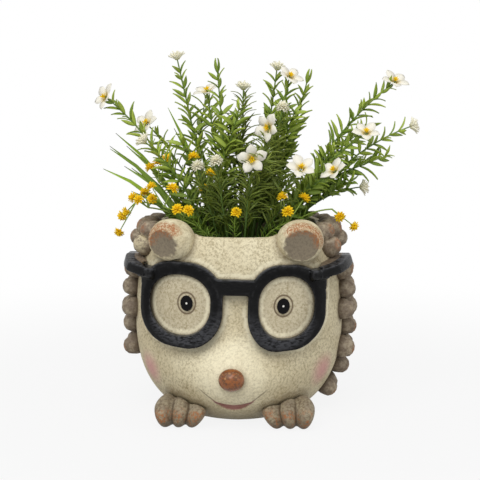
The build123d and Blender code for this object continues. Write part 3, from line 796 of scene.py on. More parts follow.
class PLANTER_OT_body(bpy.types.Operator):
    """Model the cast body of the hedgehog"""

    bl_idname = "planter.body"
    bl_label = "Body"

    def execute(self, context):
        props = context.scene.planter_casting
        body = reskin("pot_body", "hedgehog_body", props.body_grain, 6)
        self.swell(body, cast_meshes(*EARS), 9 * MM, 2.2 * MM)
        self.swell(body, cast_meshes(*PAWS), 6 * MM, 1.2 * MM)
        spectacles = bpy.data.objects["spectacle_front_painted"].data
        # Painted shade: the crease mark darkens the skin next to the ears, paws and nose, and close under the
        # spectacles.
        crease_shade = nearness(body, cast_meshes(*EARS, *PAWS, "nose"), 6 * MM)
        write_mark(body, "crease_shade", np.maximum(crease_shade, nearness(body, [spectacles], 2.5 * MM)))
        front = nearness(body, [spectacles], 4.5 * MM)
        write_mark(body, "edge", np.where((front > 0.05) & (front < 0.7), 1.0, 0.0))
        write_mark(body, "lens", self.behind_lens(points_of(body.data)))
        # Painted shade: the coat mark darkens the skin near the rows of quills.
        write_mark(body, "coat", nearness(body, cast_meshes(*QUILL_ROWS), 7 * MM))
        points, normals = points_of(body.data), normals_of(body.data)
        inward = -(points[:, 0] * normals[:, 0] + points[:, 1] * normals[:, 1])
        facing_in = inward > 0.3 * np.hypot(points[:, 0], points[:, 1])
        write_mark(body, "inside", facing_in & (points[:, 2] > 10 * MM))
        settle(body, self.finish(props), "pot", "clay", "pot_body")
        return {"FINISHED"}

    def behind_lens(self, points):
        """1 on the face inside a rim of the spectacles, 0 elsewhere."""
        x, y, z = points.T / MM
        x = x - np.interp(x, *SIDE_LEAN)
        gap = np.hypot((np.abs(x) - LENS_MIDDLE[0]) / LENS_HALF[0], (z - LENS_MIDDLE[1]) / LENS_HALF[1])
        return (gap < 1.08) & (y < 0)

    def swell(self, body, meshes, reach, rise):
        """Flares the skin up to pieces that grow out of it."""
        near = nearness(body, meshes, reach)
        points, normals = points_of(body.data), normals_of(body.data)
        outward = points[:, 0] * normals[:, 0] + points[:, 1] * normals[:, 1] > 0
        lift = (near**2 * rise * outward)[:, None]
        move_points(body, points + normals * lift)
        modify(body, "SMOOTH", factor=0.4, iterations=2)

    def finish(self, props):
        clay = Finish("crackled_clay", Roughness=0.62, Specular_IOR_Level=0.3)
        x, y, z = clay.axes()
        front = 1 - clay.step(y, -20, 0)
        cloud = clay.noise(24, 2)
        speckle = clay.step(clay.noise(2.2, 4, 0.7), 0.42, 0.66)
        grain = clay.noise(0.9, 2, 0.6)
        cracks = clay.cracks(3.4, 0.22) * clay.step(clay.noise(10), 0.5, 0.66)
        # The muzzle and brow spots are a painted highlight, and partly a paler cream of the cast itself. The
        # cloud gives a random paler tone.
        muzzle = clay.spot((0, -94, 50), 14, 40)
        brow = clay.spot((0, -66, 140), 16, 58)
        worn = clay.spot((-30, -80, 60), 8, 30) * 0.35
        light = clay.step(cloud, 0.35, 0.7) * 0.35 + muzzle * 0.7 + brow * 0.3 + worn
        colour = clay.mix(light.least(1.0), tuple(props.clay), tuple(props.pale))
        lens = clay.mark("lens")
        colour = clay.mix(lens * 0.55, colour, tuple(props.lens))
        dirt = speckle * 0.5 + clay.step(grain, 0.5, 0.7) * 0.3 + cracks * 0.4
        dirt = dirt * (1 - muzzle * 0.55) * (0.6 + 0.8 * clay.noise(15, 2))
        colour = clay.mix(dirt.least(0.75), colour, tuple(props.mottle))
        # Painted shade: darker towards the bottom of the body, under the chin, in the mottle colour.
        chin_shade = 1 - clay.step(z, 4, 26)
        colour = clay.mix(chin_shade * 0.5, colour, tuple(props.mottle))
        for side in (-1, 1):
            cheek = clay.spot((side * 76, -48, 41), 2, 20)
            colour = clay.mix(cheek * 0.68, colour, tuple(props.blush))
        lightened = clay.mark("edge") * (1 - clay.step(clay.noise(6), 0.4, 0.7) * 0.5)
        colour = clay.mix(lightened * 0.75, colour, tuple(props.pale))
        # Painted shade in the creases and next to the rows of quills, in the stain colour.
        crease_shade = clay.mark("crease_shade") ** 2.0 * (0.35 + 0.6 * clay.noise(5))
        coat = clay.mark("coat") ** 1.5
        colour = clay.mix((crease_shade * 0.8 + coat * 0.95).least(0.92), colour, tuple(props.stain_and_shade))
        colour = self.smile(clay, colour, props, x, z, front)
        for place_x, place_z in PUPILS.values():
            wide, tall = (x - place_x) / 7.5, (z - place_z) / 8.6
            gap = (wide * wide + tall * tall) ** 0.5
            ring = 1 - clay.step(abs(gap - 1), 0.04, 0.14)
            colour = clay.mix(ring * front * 0.85, colour, tuple(props.stain_and_shade))
        colour = clay.mix(clay.mark("inside"), colour, tuple(props.bare))
        clay.bump(speckle * 0.5 + clay.noise(8) - cracks * 0.4, 0.4, 0.4)
        return clay.show(colour, 0.48 + 0.25 * clay.noise(4))

    def smile(self, clay, colour, props, x, z, front):
        """Lips, the line between them and the creases that run up from the corners."""
        across = abs(x) / 17
        bow = 1 - across * across
        upper, lower = 26.5 - 4.5 * bow, 26.5 - 9.5 * bow
        lips = clay.step(upper - z, -1.0, 0.3) * clay.step(z - lower, -1.2, 0.4) * front
        dark = clay.step(upper - z, -0.3, 0.3) * clay.step(z - upper, -2.2, -1.0)
        dark = dark * clay.step(bow, 0.05, 0.3) * front
        colour = clay.mix(lips * 0.85, colour, tuple(props.lips))
        colour = clay.mix(dark * 0.7, colour, tuple(value * 0.35 for value in props.lips))
        run = (abs(x) - 15) / 14
        rise = 25.6 + 11 * run
        ends = clay.step(run, -0.05, 0.08) * (1 - clay.step(run, 0.7, 1.05))
        fold = (1 - clay.step(abs(z - rise), 0.2, 1.1)) * ends * front
        return clay.mix(fold * 0.6, colour, tuple(props.stain_and_shade))


class PLANTER_OT_ears(bpy.types.Operator):
    """Model the ears"""

    bl_idname = "planter.ears"
    bl_label = "Ears"

    def execute(self, context):
        props = context.scene.planter_casting
        for node, (side, yaw, nod, depth) in EARS.items():
            ear = reskin(node, f"{node}_cast", props.piece_grain, 2)
            self.round_off(ear, side)
            modify(ear, "REMESH", mode="VOXEL", voxel_size=props.piece_grain, adaptivity=0)
            modify(ear, "SMOOTH", factor=0.5, iterations=10)
            self.dish(ear, side, yaw, nod, depth * MM)
            settle(ear, self.finish(props, node), "pot", "ears", node)
        return {"FINISHED"}

    def arms(self, ear, side):
        """The middle of the ear's ball, and the place of each vertex off it."""
        middle = np.array((side * EAR_MIDDLE[0], EAR_MIDDLE[1], EAR_MIDDLE[2])) * MM
        return middle, points_of(ear.data) - middle

    def round_off(self, ear, side):
        """Fills the front of the ear out to a ball, a little flat in front."""
        middle, arm = self.arms(ear, side)
        reach = np.linalg.norm(arm, axis=1)
        cast = arm @ np.array((side * math.sin(EAR_CAST_YAW), -math.cos(EAR_CAST_YAW), 0)) / reach
        ahead = np.clip((cast - math.cos(EAR_CAST_SPREAD)) / (1 - math.cos(EAR_CAST_SPREAD)), 0, 1)
        full = (EAR_RADIUS + (EAR_FRONT_RADIUS - EAR_RADIUS) * ahead) * MM
        short = (ahead > 0) & (reach < full)
        arm[short] *= (full / reach)[short, None]
        arm[:, 2] *= EAR_SQUAT
        move_points(ear, arm + middle)

    def dish(self, ear, side, yaw, nod, depth):
        """Presses the dished face into the ball, and marks it and the edge above it."""
        middle, arm = self.arms(ear, side)
        level = math.cos(nod)
        axis = np.array((side * math.sin(yaw) * level, -math.cos(yaw) * level, -math.sin(nod)))
        along = arm @ axis
        across = arm - along[:, None] * axis
        wide = np.linalg.norm(across, axis=1)
        pressed = along > depth
        share = np.clip(wide / wide[pressed].max(), 0, 1)
        floor = depth - EAR_DISH * MM * (1 - share**2)
        arm[pressed] = across[pressed] + floor[pressed, None] * axis
        move_points(ear, arm + middle)
        soft = np.where(across[:, 0] * side > 0, 2.0, 8.0) * MM
        write_mark(ear, "face", np.clip((along - depth) / soft + 0.5, 0, 1))
        upward = (across[:, 2] + 0.4 * side * across[:, 0]) / np.maximum(wide, 0.1 * MM)
        ring = 1 - np.clip(np.abs(along - depth + 2.5 * MM) / (6.5 * MM), 0, 1)
        write_mark(ear, "edge", ring * np.clip((upward - 0.1) / 0.5, 0, 1))
        modify(ear, "SMOOTH", factor=0.5, iterations=20)

    def finish(self, props, node):
        clay = Finish(f"{node}_clay", Roughness=0.66, Specular_IOR_Level=0.3)
        wander = (clay.noise(4, 3) - 0.5) * 0.9
        face = clay.step(clay.mark("face") + wander, 0.3, 0.75)
        speckle = clay.step(clay.noise(2.2, 4, 0.7), 0.42, 0.64)
        colour = clay.mix(clay.step(clay.noise(14, 2), 0.35, 0.7) * 0.6, tuple(props.clay), tuple(props.pale))
        colour = clay.mix(speckle * 0.4, colour, tuple(props.mottle))
        grey = clay.mix(speckle * 0.6, tuple(props.bare), darker(props.bare))
        colour = clay.mix(face, colour, grey)
        grit = clay.step(clay.noise(1.6, 3, 0.75), 0.44, 0.58)
        edge = clay.mark("edge") ** 0.5
        colour = clay.mix((edge * (0.3 + 1.1 * grit)).least(0.94), colour, tuple(props.rust))
        clay.bump(clay.noise(2.0, 5, 0.6) + clay.noise(7), 0.4, 0.5)
        return clay.show(colour)


class PLANTER_OT_paws(bpy.types.Operator):
    """Model the front paws"""

    bl_idname = "planter.paws"
    bl_label = "Paws"

    def execute(self, context):
        props = context.scene.planter_casting
        for node in PAWS:
            paw = reskin(node, f"{node}_cast", props.piece_grain, 34)
            self.tuck(paw, node)
            settle(paw, self.finish(props, node), "pot", "paws", node)
        return {"FINISHED"}

    def tuck(self, paw, node):
        """Marks the grooves between the toes, and draws the sides of the paw in towards the ground."""
        low, high = (np.array(corner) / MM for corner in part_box(node))
        x, y, z = points_of(paw.data).T / MM
        middle = (low[0] + high[0]) / 2
        fan = 1 - (y - low[1]) / 120
        gaps = np.abs(np.abs(x - middle) / fan - TOE_GAP)
        front = np.clip((low[1] + 26 - y) / 12, 0, 1)
        write_mark(paw, "groove", np.clip((1.6 - gaps) / 1.2, 0, 1) * front)
        side = PAWS[node]
        inner, outer = sorted((abs(low[0]), abs(high[0])))
        share = np.clip((x * side - inner) / (outer - inner), 0, 1)
        foot = np.clip(1 - z / 20, 0, 1)
        x = x + side * foot * (8 * (1 - share) - 3.5 * share)
        z = z * PAW_SQUAT
        move_points(paw, np.column_stack((x, y, z)) * MM)

    def finish(self, props, node):
        low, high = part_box(node)
        clay = Finish(f"{node}_clay", Roughness=0.64, Specular_IOR_Level=0.3)
        x, y, z = clay.axes()
        groove = clay.mark("groove")
        tip = (1 - clay.step(y, low.y / MM + 2, low.y / MM + 12)) * (1 - clay.step(z, 13, 21))
        speckle = clay.step(clay.noise(2.4, 4, 0.7), 0.42, 0.64)
        colour = clay.mix(clay.step(clay.noise(9, 3), 0.35, 0.65) * 0.3, tuple(props.bare), tuple(props.clay))
        colour = clay.mix(speckle * 0.7, colour, tuple(props.stain_and_shade))
        grit = clay.step(clay.noise(1.8, 3, 0.75), 0.43, 0.58) * clay.step(clay.noise(8, 2), 0.36, 0.56)
        colour = clay.mix(tip * grit * 0.9, colour, tuple(props.rust))
        low_down = 1 - clay.step(z, 0, 7)
        shaded = (low_down * 0.6 + groove * 0.75).least(0.9)
        colour = clay.mix(shaded, colour, darker(props.stain_and_shade))
        clay.bump(clay.noise(2.0, 5, 0.6) + clay.noise(6), 0.4, 0.5)
        return clay.show(colour)


class PLANTER_OT_nose(bpy.types.Operator):
    """Model the nose"""

    bl_idname = "planter.nose"
    bl_label = "Nose"

    def execute(self, context):
        props = context.scene.planter_casting
        nose = reskin("nose", "nose_knob", 0.6 * MM, 5)
        move_points(nose, points_of(nose.data) + np.array(NOSE_SHIFT) * MM)
        paint_coat = Finish("nose_paint", Roughness=0.3, Specular_IOR_Level=0.5)
        streak = paint_coat.step(paint_coat.noise(3.6, 4, 0.65), 0.42, 0.6)
        colour = paint_coat.mix(streak * 0.85, tuple(props.nose_brown), paint(58, 28, 10))
        worn = paint_coat.step(paint_coat.noise(3.6, 3), 0.54, 0.72) * 0.6
        colour = paint_coat.mix(worn, colour, paint(222, 164, 104))
        paint_coat.bump(paint_coat.noise(2.0, 4), 0.25, 0.5)
        settle(nose, paint_coat.show(colour, 0.26 + 0.2 * streak), "pot", "nose", "nose")
        return {"FINISHED"}


class PLANTER_OT_pupils(bpy.types.Operator):
    """Model the domed pupils with their catch of light"""

    bl_idname = "planter.pupils"
    bl_label = "Pupils"

    def execute(self, context):
        for node, (place_x, place_z) in PUPILS.items():
            pupil = reskin(node, f"{node}_dome", 0.35 * MM, 4)
            gloss = Finish(f"{node}_gloss", Roughness=0.18, Specular_IOR_Level=0.1)
            x, y, z = gloss.axes()
            wide, tall = x - place_x, z - place_z
            dot = 1 - gloss.step((wide * wide + tall * tall) ** 0.5, 0.6, 1.0)
            colour = gloss.mix(dot, paint(9, 8, 9), paint(235, 232, 224))
            settle(pupil, gloss.show(colour), "pot", "pupils", node)
        return {"FINISHED"}


class PLANTER_OT_spectacles(bpy.types.Operator):
    """Model the spectacles: the front and both arms"""

    bl_idname = "planter.spectacles"
    bl_label = "Spectacles"

    def execute(self, context):
        props = context.scene.planter_casting
        coat = self.finish(props)
        for node in ("spectacle_front", "spectacle_arm_left", "spectacle_arm_right"):
            piece = copy_node(node, f"{node}_painted")
            if node == "spectacle_front":
                self.corners(piece)
            modify(piece, "REMESH", mode="VOXEL", voxel_size=props.piece_grain, adaptivity=0)
            modify(piece, "SMOOTH", factor=0.5, iterations=4)
            write_mark(piece, "black", self.blacked(piece, node))
            if node == "spectacle_front":
                self.slope(piece, props.rim_slope)
                modify(piece, "SMOOTH", factor=0.5, iterations=3)
            else:
                self.sway(piece)
                modify(piece, "SMOOTH", factor=0.5, iterations=12)
            self.lean(piece)
            # The ridge mark carries the painted highlight along the ridges of the rims.
            write_mark(piece, "ridge", ridges(piece, 0.1 * MM))
            # The upward mark carries the painted sheen on the upward-facing parts of the band.
            write_mark(piece, "upward", np.clip((normals_of(piece.data)[:, 2] - 0.25) / 0.5, 0, 1))
            settle(piece, coat, "pot", "spectacles", node)
        return {"FINISHED"}

    def corners(self, front):
        """Adds a block at each upper corner, where a rim runs into its arm."""
        blocks = []
        for side in (-1, 1):
            bpy.ops.object.select_all(action="DESELECT")
            place = (side * CORNER_MIDDLE[0] * MM, CORNER_MIDDLE[1] * MM, CORNER_MIDDLE[2] * MM)
            bpy.ops.mesh.primitive_cube_add(size=MM, location=place, rotation=(0, 0, side * math.radians(45)))
            block = bpy.context.active_object
            block.scale = CORNER_SIZE
            bpy.ops.object.transform_apply(location=True, rotation=True, scale=True)
            modify(block, "BEVEL", width=3 * MM, segments=3)
            blocks.append(block)
        take(front)
        for block in blocks:
            block.select_set(True)
        bpy.ops.object.join()

    def blacked(self, piece, node):
        """1 where a piece is painted black: all of the front, and the outer bar of an arm."""
        points = points_of(piece.data)
        if node == "spectacle_front":
            return np.ones(len(points))
        height = (1 - nearness(piece, cast_meshes("pot_body"), 14 * MM)) * 14
        return (height > 7.5) | (points[:, 1] < -56 * MM)

    def sway(self, arm):
        """Lays an arm flatter along the flank, and draws its front end into the rim."""
        points = points_of(arm.data) / MM
        line = np.interp(points[:, 1], *ARM_LINE)
        points[:, 2] = line + (points[:, 2] - line) * ARM_SLIM + np.interp(points[:, 1], *ARM_SWAY)
        front = np.clip((-46 - points[:, 1]) / 14, 0, 1)
        points[:, 0] -= np.sign(points[:, 0]) * 4.5 * front
        move_points(arm, points * MM)

    def lean(self, piece):
        """Leans the painted pieces a little to one side, along the face."""
        points = points_of(piece.data) / MM
        front = np.clip((-20 - points[:, 1]) / 25, 0, 1)
        push = np.interp(points[:, 0], *SIDE_LEAN) * front
        points[:, 1] += push * np.interp(points[:, 0], *FACE_SLOPE)
        points[:, 0] += push
        move_points(piece, points * MM)

    def slope(self, front, depth):
        """Slopes the band of both rims down towards the lens."""
        points = points_of(front.data)
        height = (1 - nearness(front, cast_meshes("pot_body"), 9 * MM)) * 9
        x, z = points[:, 0] / MM, points[:, 2] / MM - LENS_MIDDLE[1]
        across = np.abs(x * math.cos(LENS_ROLL) - z * math.sin(LENS_ROLL)) - LENS_MIDDLE[0]
        rise = x * math.sin(LENS_ROLL) + z * math.cos(LENS_ROLL)
        side = np.abs(across) - (LENS_HALF[0] - LENS_CORNER)
        top = np.abs(rise) - (LENS_HALF[1] - LENS_CORNER)
        beyond = np.hypot(np.maximum(side, 0), np.maximum(top, 0))
        gap = beyond + np.minimum(np.maximum(side, top), 0) - LENS_CORNER
        share = np.clip(1 - gap / 6.5, 0, 1)
        droop = np.where(x < 0, *RIM_DROOP) * np.clip(rise / LENS_HALF[1], 0, 1)
        points[:, 2] -= share * droop * MM
        points[:, 1] += share**1.3 * np.clip(height / 7, 0, 1) * depth
        move_points(front, points)

    def finish(self, props):
        coat = Finish("brushed_black", Roughness=0.3, Specular_IOR_Level=0.1)
        streak = coat.node(
            "ShaderNodeMapping", {"vector_type": "POINT"}, {"Vector": coat.place, "Scale": (1.0, 1.0, 3.0)}
        )
        brush = coat.noise(4.0, 4, 0.6, at=streak)
        colour = coat.mix(coat.step(brush, 0.55, 0.8) * 0.4, tuple(props.frame_black), paint(30, 30, 32))
        # Painted highlight: paler grey in patches along the ridges of the rims.
        lightened = coat.mark("ridge") * coat.step(coat.noise(5.0, 4, 0.7), 0.4, 0.66)
        colour = coat.mix(lightened * 0.5, colour, paint(84, 84, 86))
        # Painted highlight: a paler grey sheen in brush streaks on the upward-facing parts of the band.
        colour = coat.mix(coat.mark("upward") * coat.step(brush, 0.36, 0.6) * 0.5, colour, paint(96, 97, 102))
        speckle = coat.step(coat.noise(2.4, 4), 0.4, 0.64) * 0.6
        clay = coat.mix(speckle, tuple(props.quill), tuple(props.stain_and_shade))
        colour = coat.mix(coat.mark("black"), clay, colour)
        coat.bump(brush, 0.5, 0.7)
        return coat.show(colour, 0.2 + 0.22 * brush)


class PLANTER_OT_quills(bpy.types.Operator):
    """Model the coat: a bobble on every quill's seat"""

    bl_idname = "planter.quills"
    bl_label = "Quills"

    def execute(self, context):
        props = context.scene.planter_casting
        bobble = model_bobble()
        coat = self.finish(props)
        dice = random.Random(4)
        for node in QUILL_ROWS:
            row = Cluster()
            for middle, way in self.seats(node):
                if all(value < limit * MM for value, limit in zip(middle, BARE_CORNER)):
                    continue
                radius = props.quill_radius * dice.uniform(0.94, 1.06)
                height = props.quill_height * dice.uniform(0.92, 1.06)
                stray = Vector([dice.uniform(-0.08, 0.08) for _ in range(3)])
                droop = (way + QUILL_DROOP + stray).normalized()
                place = upright(middle, droop, radius, height, dice.uniform(0, 6))
                row.add(bobble, place, dice.random())
            settle(row.build(f"{node}_bobbles", coat), None, "pot", "quills", node)
        return {"FINISHED"}

    def seats(self, node):
        """Middle and direction of each quill of a row, from its flat foot."""
        copy = copy_node(node, "seats")
        mesh = bmesh.new()
        mesh.from_mesh(copy.data)
        seen, seats = set(), []
        for first in mesh.faces:
            if first in seen:
                continue
            island, queue = [], [first]
            seen.add(first)
            while queue:
                face = queue.pop()
                island.append(face)
                for edge in face.edges:
                    for other in edge.link_faces:
                        if other not in seen:
                            seen.add(other)
                            queue.append(other)
            flats = {}
            for face in island:
                key = tuple(round(value, 2) for value in face.normal)
                flats.setdefault(key, []).append(face)
            foot = max(flats.values(), key=lambda faces: sum(face.calc_area() for face in faces))
            area = sum(face.calc_area() for face in foot)
            middle = sum((face.calc_center_median() * face.calc_area() for face in foot), Vector()) / area
            way = -sum((face.normal * face.calc_area() for face in foot), Vector()).normalized()
            seats.append((middle, way))
        mesh.free()
        bpy.data.objects.remove(copy)
        if node == "quill_row_8":
            for side in (-1, 1):
                for foot, way in EAR_QUILLS:
                    middle = Vector((side * foot[0], foot[1], foot[2])) * MM
                    seats.append((middle, Vector((side * way[0], way[1], way[2]))))
        return seats

    def finish(self, props):
        coat = Finish("quill_clay", Roughness=0.68, Specular_IOR_Level=0.3)
        rise, tint = coat.mark("share"), coat.mark("tint")
        speckle = coat.step(coat.noise(2.4, 5, 0.65), 0.42, 0.62)
        worn = coat.step(coat.noise(7, 3), 0.4, 0.66) * 0.8
        colour = coat.mix(worn, tuple(props.quill), tuple(props.quill_worn))
        colour = coat.mix(speckle * 0.5, colour, tuple(props.stain_and_shade))
        bare = coat.spot(PALE_QUILL, 7, 11) * coat.step(coat.noise(4, 4, 0.65), 0.36, 0.56)
        colour = coat.mix(bare * 0.85, colour, tuple(props.clay))
        tip = coat.step(rise, 0.82, 1.0) * coat.step(tint, 0.3, 0.6)
        tip = tip * coat.step(coat.noise(2.2, 3), 0.35, 0.55)
        colour = coat.mix(tip * 0.7, colour, tuple(props.rust))
        # Painted shade: darker at the foot of each quill, where it meets its neighbours.
        quill_foot_shade = (1 - coat.step(rise, 0.15, 0.62)) * 0.85
        colour = coat.mix(quill_foot_shade, colour, darker(props.stain_and_shade))
        coat.bump(coat.noise(2.0, 5, 0.6) + coat.noise(6), 0.5, 0.7)
        return coat.show(colour)


class PLANTER_OT_foam(bpy.types.Operator):
    """Model the foam that holds the stems"""

    bl_idname = "planter.foam"
    bl_label = "Foam"

    def execute(self, context):
        props = context.scene.planter_planting
        foam = reskin("foam_block", "foam_plug", 1.6 * MM, 2)
        cells = Finish("open_foam", Roughness=0.9, Specular_IOR_Level=0.1)
        sockets = {"Vector": cells.place, "Scale": 1000 / 1.6}
        pores = cells.node("ShaderNodeTexVoronoi", {"feature": "F1"}, sockets)
        open_cell = cells.step(pores, 0.1, 0.6)
        colour = cells.mix(open_cell, darker(props.foam_green, 0.4), tuple(props.foam_green))
        cells.bump(pores, 0.6, 0.8)
        settle(foam, cells.show(colour), "planting", "foam", "foam_block")
        return {"FINISHED"}


def leaf_finish(name, dark, light, low=150, high=235):
    """A thin artificial leaf: each copy of its own green, paler towards its tip, and darker lower down as
    painted shade.
    """
    leaf = Finish(name, Roughness=0.5, Specular_IOR_Level=0.4)
    share, tint = leaf.mark("share"), leaf.mark("tint")
    x, y, z = leaf.axes()
    vein = leaf.noise(1.2, 3)
    # Painted shade: the tone falls towards the dark green from the height high down to low, in millimetres.
    tone = (tint * 0.6 + share * 0.3 + vein * 0.2) * (0.3 + 0.7 * leaf.step(z, low, high))
    leaf.bump(vein, 0.15, 0.5)
    return leaf.show(leaf.mix(tone.least(1.0), dark, light))


def petal_finish(name, colour, shade):
    """A petal or floret: darker at its foot."""
    petal = Finish(name, Roughness=0.6, Specular_IOR_Level=0.3)
    share = petal.mark("share")
    depth = petal.step(share, 0.0, 0.5) * (0.85 + 0.15 * petal.noise(1.5))
    petal.bump(petal.noise(0.9, 3), 0.15, 0.5)
    return petal.show(petal.mix(depth, shade, colour))


class PLANTER_OT_sprays(bpy.types.Operator):
    """Model the leafy sprays"""

    bl_idname = "planter.sprays"
    bl_label = "Sprays"

    def execute(self, context):
        props = context.scene.planter_planting
        leaf = model_blade("leaf", LEAF_STATIONS, 0.05, 0.02)
        fine = model_blade("fine_leaf", FINE_STATIONS, 0.02, 0.02)
        greens = leaf_finish("spray_leaf", tuple(props.leaf_dark), tuple(props.leaf_light))
        stems = leaf_finish("spray_stem", paint(58, 84, 30), tuple(props.stem_green))
        olives = leaf_finish("feathery_leaf", paint(76, 96, 30), tuple(props.olive))
        for number, (tip, ending) in enumerate(SPRAYS):
            dice = random.Random(100 + number)
            run = Run(tip, STEM_FOOT_SHARES)
            spray = Cluster()
            spray.add(stem_shape(run.points(5 * MM), props.stem_radius, props.stem_radius * 0.5), slot=1)
            start = (STEM_IN_FOAM + (46 if number + 1 in FEATHERY else 40)) * MM
            stop = run.length - (6 * MM if ending == "leaf" else 9 * MM)
            if number + 1 in FEATHERY:
                kind = {
                    "shape": fine,
                    "pitch": 3.2 * MM,
                    "long": props.leaf_length * 1.15,
                    "wide": 1.7 * MM,
                    "slot": 2,
                }
            else:
                kind = {
                    "shape": leaf,
                    "pitch": props.leaf_pitch,
                    "long": props.leaf_length,
                    "wide": props.leaf_width,
                }
            dress(spray, run, dice=dice, start=start, stop=stop, leaves=3, **kind)
            for share in SHOOTS.get(number + 1, USUAL_SHOOTS):
                shoot = Shoot(run, share, dice)
                twig = stem_shape(shoot.points(6 * MM), props.stem_radius * 0.6, props.stem_radius * 0.3)
                spray.add(twig, slot=1)
                dress(spray, shoot, dice=dice, start=5 * MM, stop=shoot.length, leaves=3, **kind)
            if ending == "leaf":
                end, way = run.at(run.length)
                for turn in range(4):
                    out = Matrix.Rotation(turn * 1.7, 3, way) @ way.orthogonal().normalized()
                    leaf_way = (way + out * 0.22).normalized()
                    long, wide = props.leaf_length * 0.7, props.leaf_width * 0.8
                    place = stand(end - way * MM, leaf_way, out, long, wide)
                    spray.add(leaf, place, dice.random())
            node = f"flower_spray_{number + 1:02d}"
            leafy = spray.build(f"leafy_spray_{number + 1:02d}", greens, stems, olives)
            settle(leafy, None, "planting", "foliage", node)
        return {"FINISHED"}


class PLANTER_OT_flowers(bpy.types.Operator):
    """Model the white flowers"""

    bl_idname = "planter.flowers"
    bl_label = "Flowers"

    def execute(self, context):
        props = context.scene.planter_planting
        petal = model_blade("petal", PETAL_STATIONS, 0.05, 0.025)
        floret = model_blade("stamen", FLORET_STATIONS, 0.05, 0.06)
        dice = random.Random(7)
        flowers = Cluster()
        for number, (tip, ending) in enumerate(SPRAYS, 1):
            if ending != "flower":
                continue
            run = Run(tip, STEM_FOOT_SHARES)
            seat, way = run.at(run.length - 2 * MM)
            face = Vector(FLOWER_FACES.get(number, way)).normalized()
            side = face.orthogonal().normalized()
            turn = dice.uniform(0, math.tau)
            for step in range(5):
                out = Matrix.Rotation(turn + step * math.tau / 5, 3, face) @ side
                petal_way = (out + face * dice.uniform(0.45, 0.75)).normalized()
                size = dice.uniform(0.92, 1.08)
                long, wide = props.petal_length * size, props.petal_width * size
                place = stand(seat + out * MM, petal_way, face, long, wide)
                flowers.add(petal, place, dice.random())
            heart = seat + face * 1.5 * MM
            floret_ball(flowers, floret, heart, face, 4.5 * MM, 1.6 * MM, 9, 0.8, dice, slot=1)
        white = petal_finish("white_petal", tuple(props.petal_white), paint(226, 206, 120))
        yellow = petal_finish("stamen", tuple(props.yellow), paint(176, 130, 20))
        settle(flowers.build("white_blossoms", white, yellow), None, "planting", "petals", "white_flowers")
        return {"FINISHED"}


class PLANTER_OT_buds(bpy.types.Operator):
    """Model the round cream heads"""

    bl_idname = "planter.buds"
    bl_label = "Cream Heads"

    def execute(self, context):
        props = context.scene.planter_planting
        floret = model_blade("cream_floret", FLORET_STATIONS, 0.06, 0.06)
        dice = random.Random(11)
        buds = Cluster()
        for number, (tip, ending) in enumerate(SPRAYS, 1):
            if ending != "bud":
                continue
            run = Run(tip, STEM_FOOT_SHARES)
            seat, way = run.at(run.length - 2 * MM)
            ball = number in BALL_HEADS
            spread, count = (2.3, 54) if ball else (1.0, 34)
            middle = seat + way * (props.bud_radius * 0.75 if ball else 0.0)
            length = props.bud_radius * (1.0 if ball else 1.45)
            floret_ball(buds, floret, middle, way, length, 2.4 * MM, count, spread, dice)
        cream = petal_finish("cream_floret", tuple(props.cream), paint(238, 230, 184))
        settle(buds.build("cream_heads", cream), None, "planting", "buds", "cream_buds")
        return {"FINISHED"}


class PLANTER_OT_sprigs(bpy.types.Operator):
    """Model the forked twigs with their fine leaves, and the yellow heads"""

    bl_idname = "planter.sprigs"
    bl_label = "Yellow Sprigs"

    def execute(self, context):
        props = context.scene.planter_planting
        leaf = model_blade("leaflet", LEAF_STATIONS, 0.02, 0.03)
        floret = model_blade("yellow_floret", FLORET_STATIONS, 0.06, 0.08)
        dice = random.Random(23)
        twigs, heads = Cluster(), Cluster()
        for hub, balls in SPRIGS:
            run = Run(hub, STEM_FOOT_SHARES)
            bare = STEM_IN_FOAM + (16 if abs(hub[0]) > 20 else 34)
            thin = props.twig_radius
            twigs.add(stem_shape(run.points(5 * MM), thin * 1.2, thin), slot=1)
            dress(twigs, run, leaf, dice, bare * MM, run.length - 2 * MM, 3.4 * MM, 12 * MM, 1.3 * MM, 3)
            for ball in balls:
                middle = Vector(ball) * MM
                start = Vector(hub) * MM
                way = (middle - start).normalized()
                radius = props.pompon_radius * dice.uniform(0.9, 1.08)
                seat = middle - way * radius * 0.7
                twigs.add(stem_shape([start, (start + seat) / 2, seat], thin, thin * 0.6), slot=1)
                heart = middle - way * radius * 0.3
                floret_ball(heads, floret, heart, way, radius * 1.2, 2.6 * MM, 32, 1.9, dice)
                self.leaflets(twigs, leaf, start, seat, dice)
        greens = leaf_finish("sprig_leaflet", tuple(props.leaf_dark), tuple(props.leaf_light))
        stems = leaf_finish("sprig_twig", tuple(props.stem_green), tuple(props.leaf_light))
        yellow = petal_finish("yellow_floret", tuple(props.yellow), paint(246, 190, 12))
        settle(twigs.build("forked_twigs", greens, stems), None, "planting", "twigs", "yellow_sprigs")
        settle(heads.build("yellow_heads", yellow), None, "planting", "pompons", "yellow_pompons")
        return {"FINISHED"}

    def leaflets(self, twigs, leaf, start, seat, dice):
        """A few fine leaves along one twig."""
        way = (seat - start).normalized()
        side = way.orthogonal().normalized()
        for step in range(4):
            root = start + (seat - start) * (step + 0.5) / 4.5
            out = Matrix.Rotation(dice.uniform(0, math.tau), 3, way) @ side
            leaf_way = (way * 0.7 + out).normalized()
            if over_pot(root + leaf_way * 8 * MM):
                twigs.add(leaf, stand(root, leaf_way, way, dice.uniform(5, 8) * MM, 1.1 * MM), dice.random())


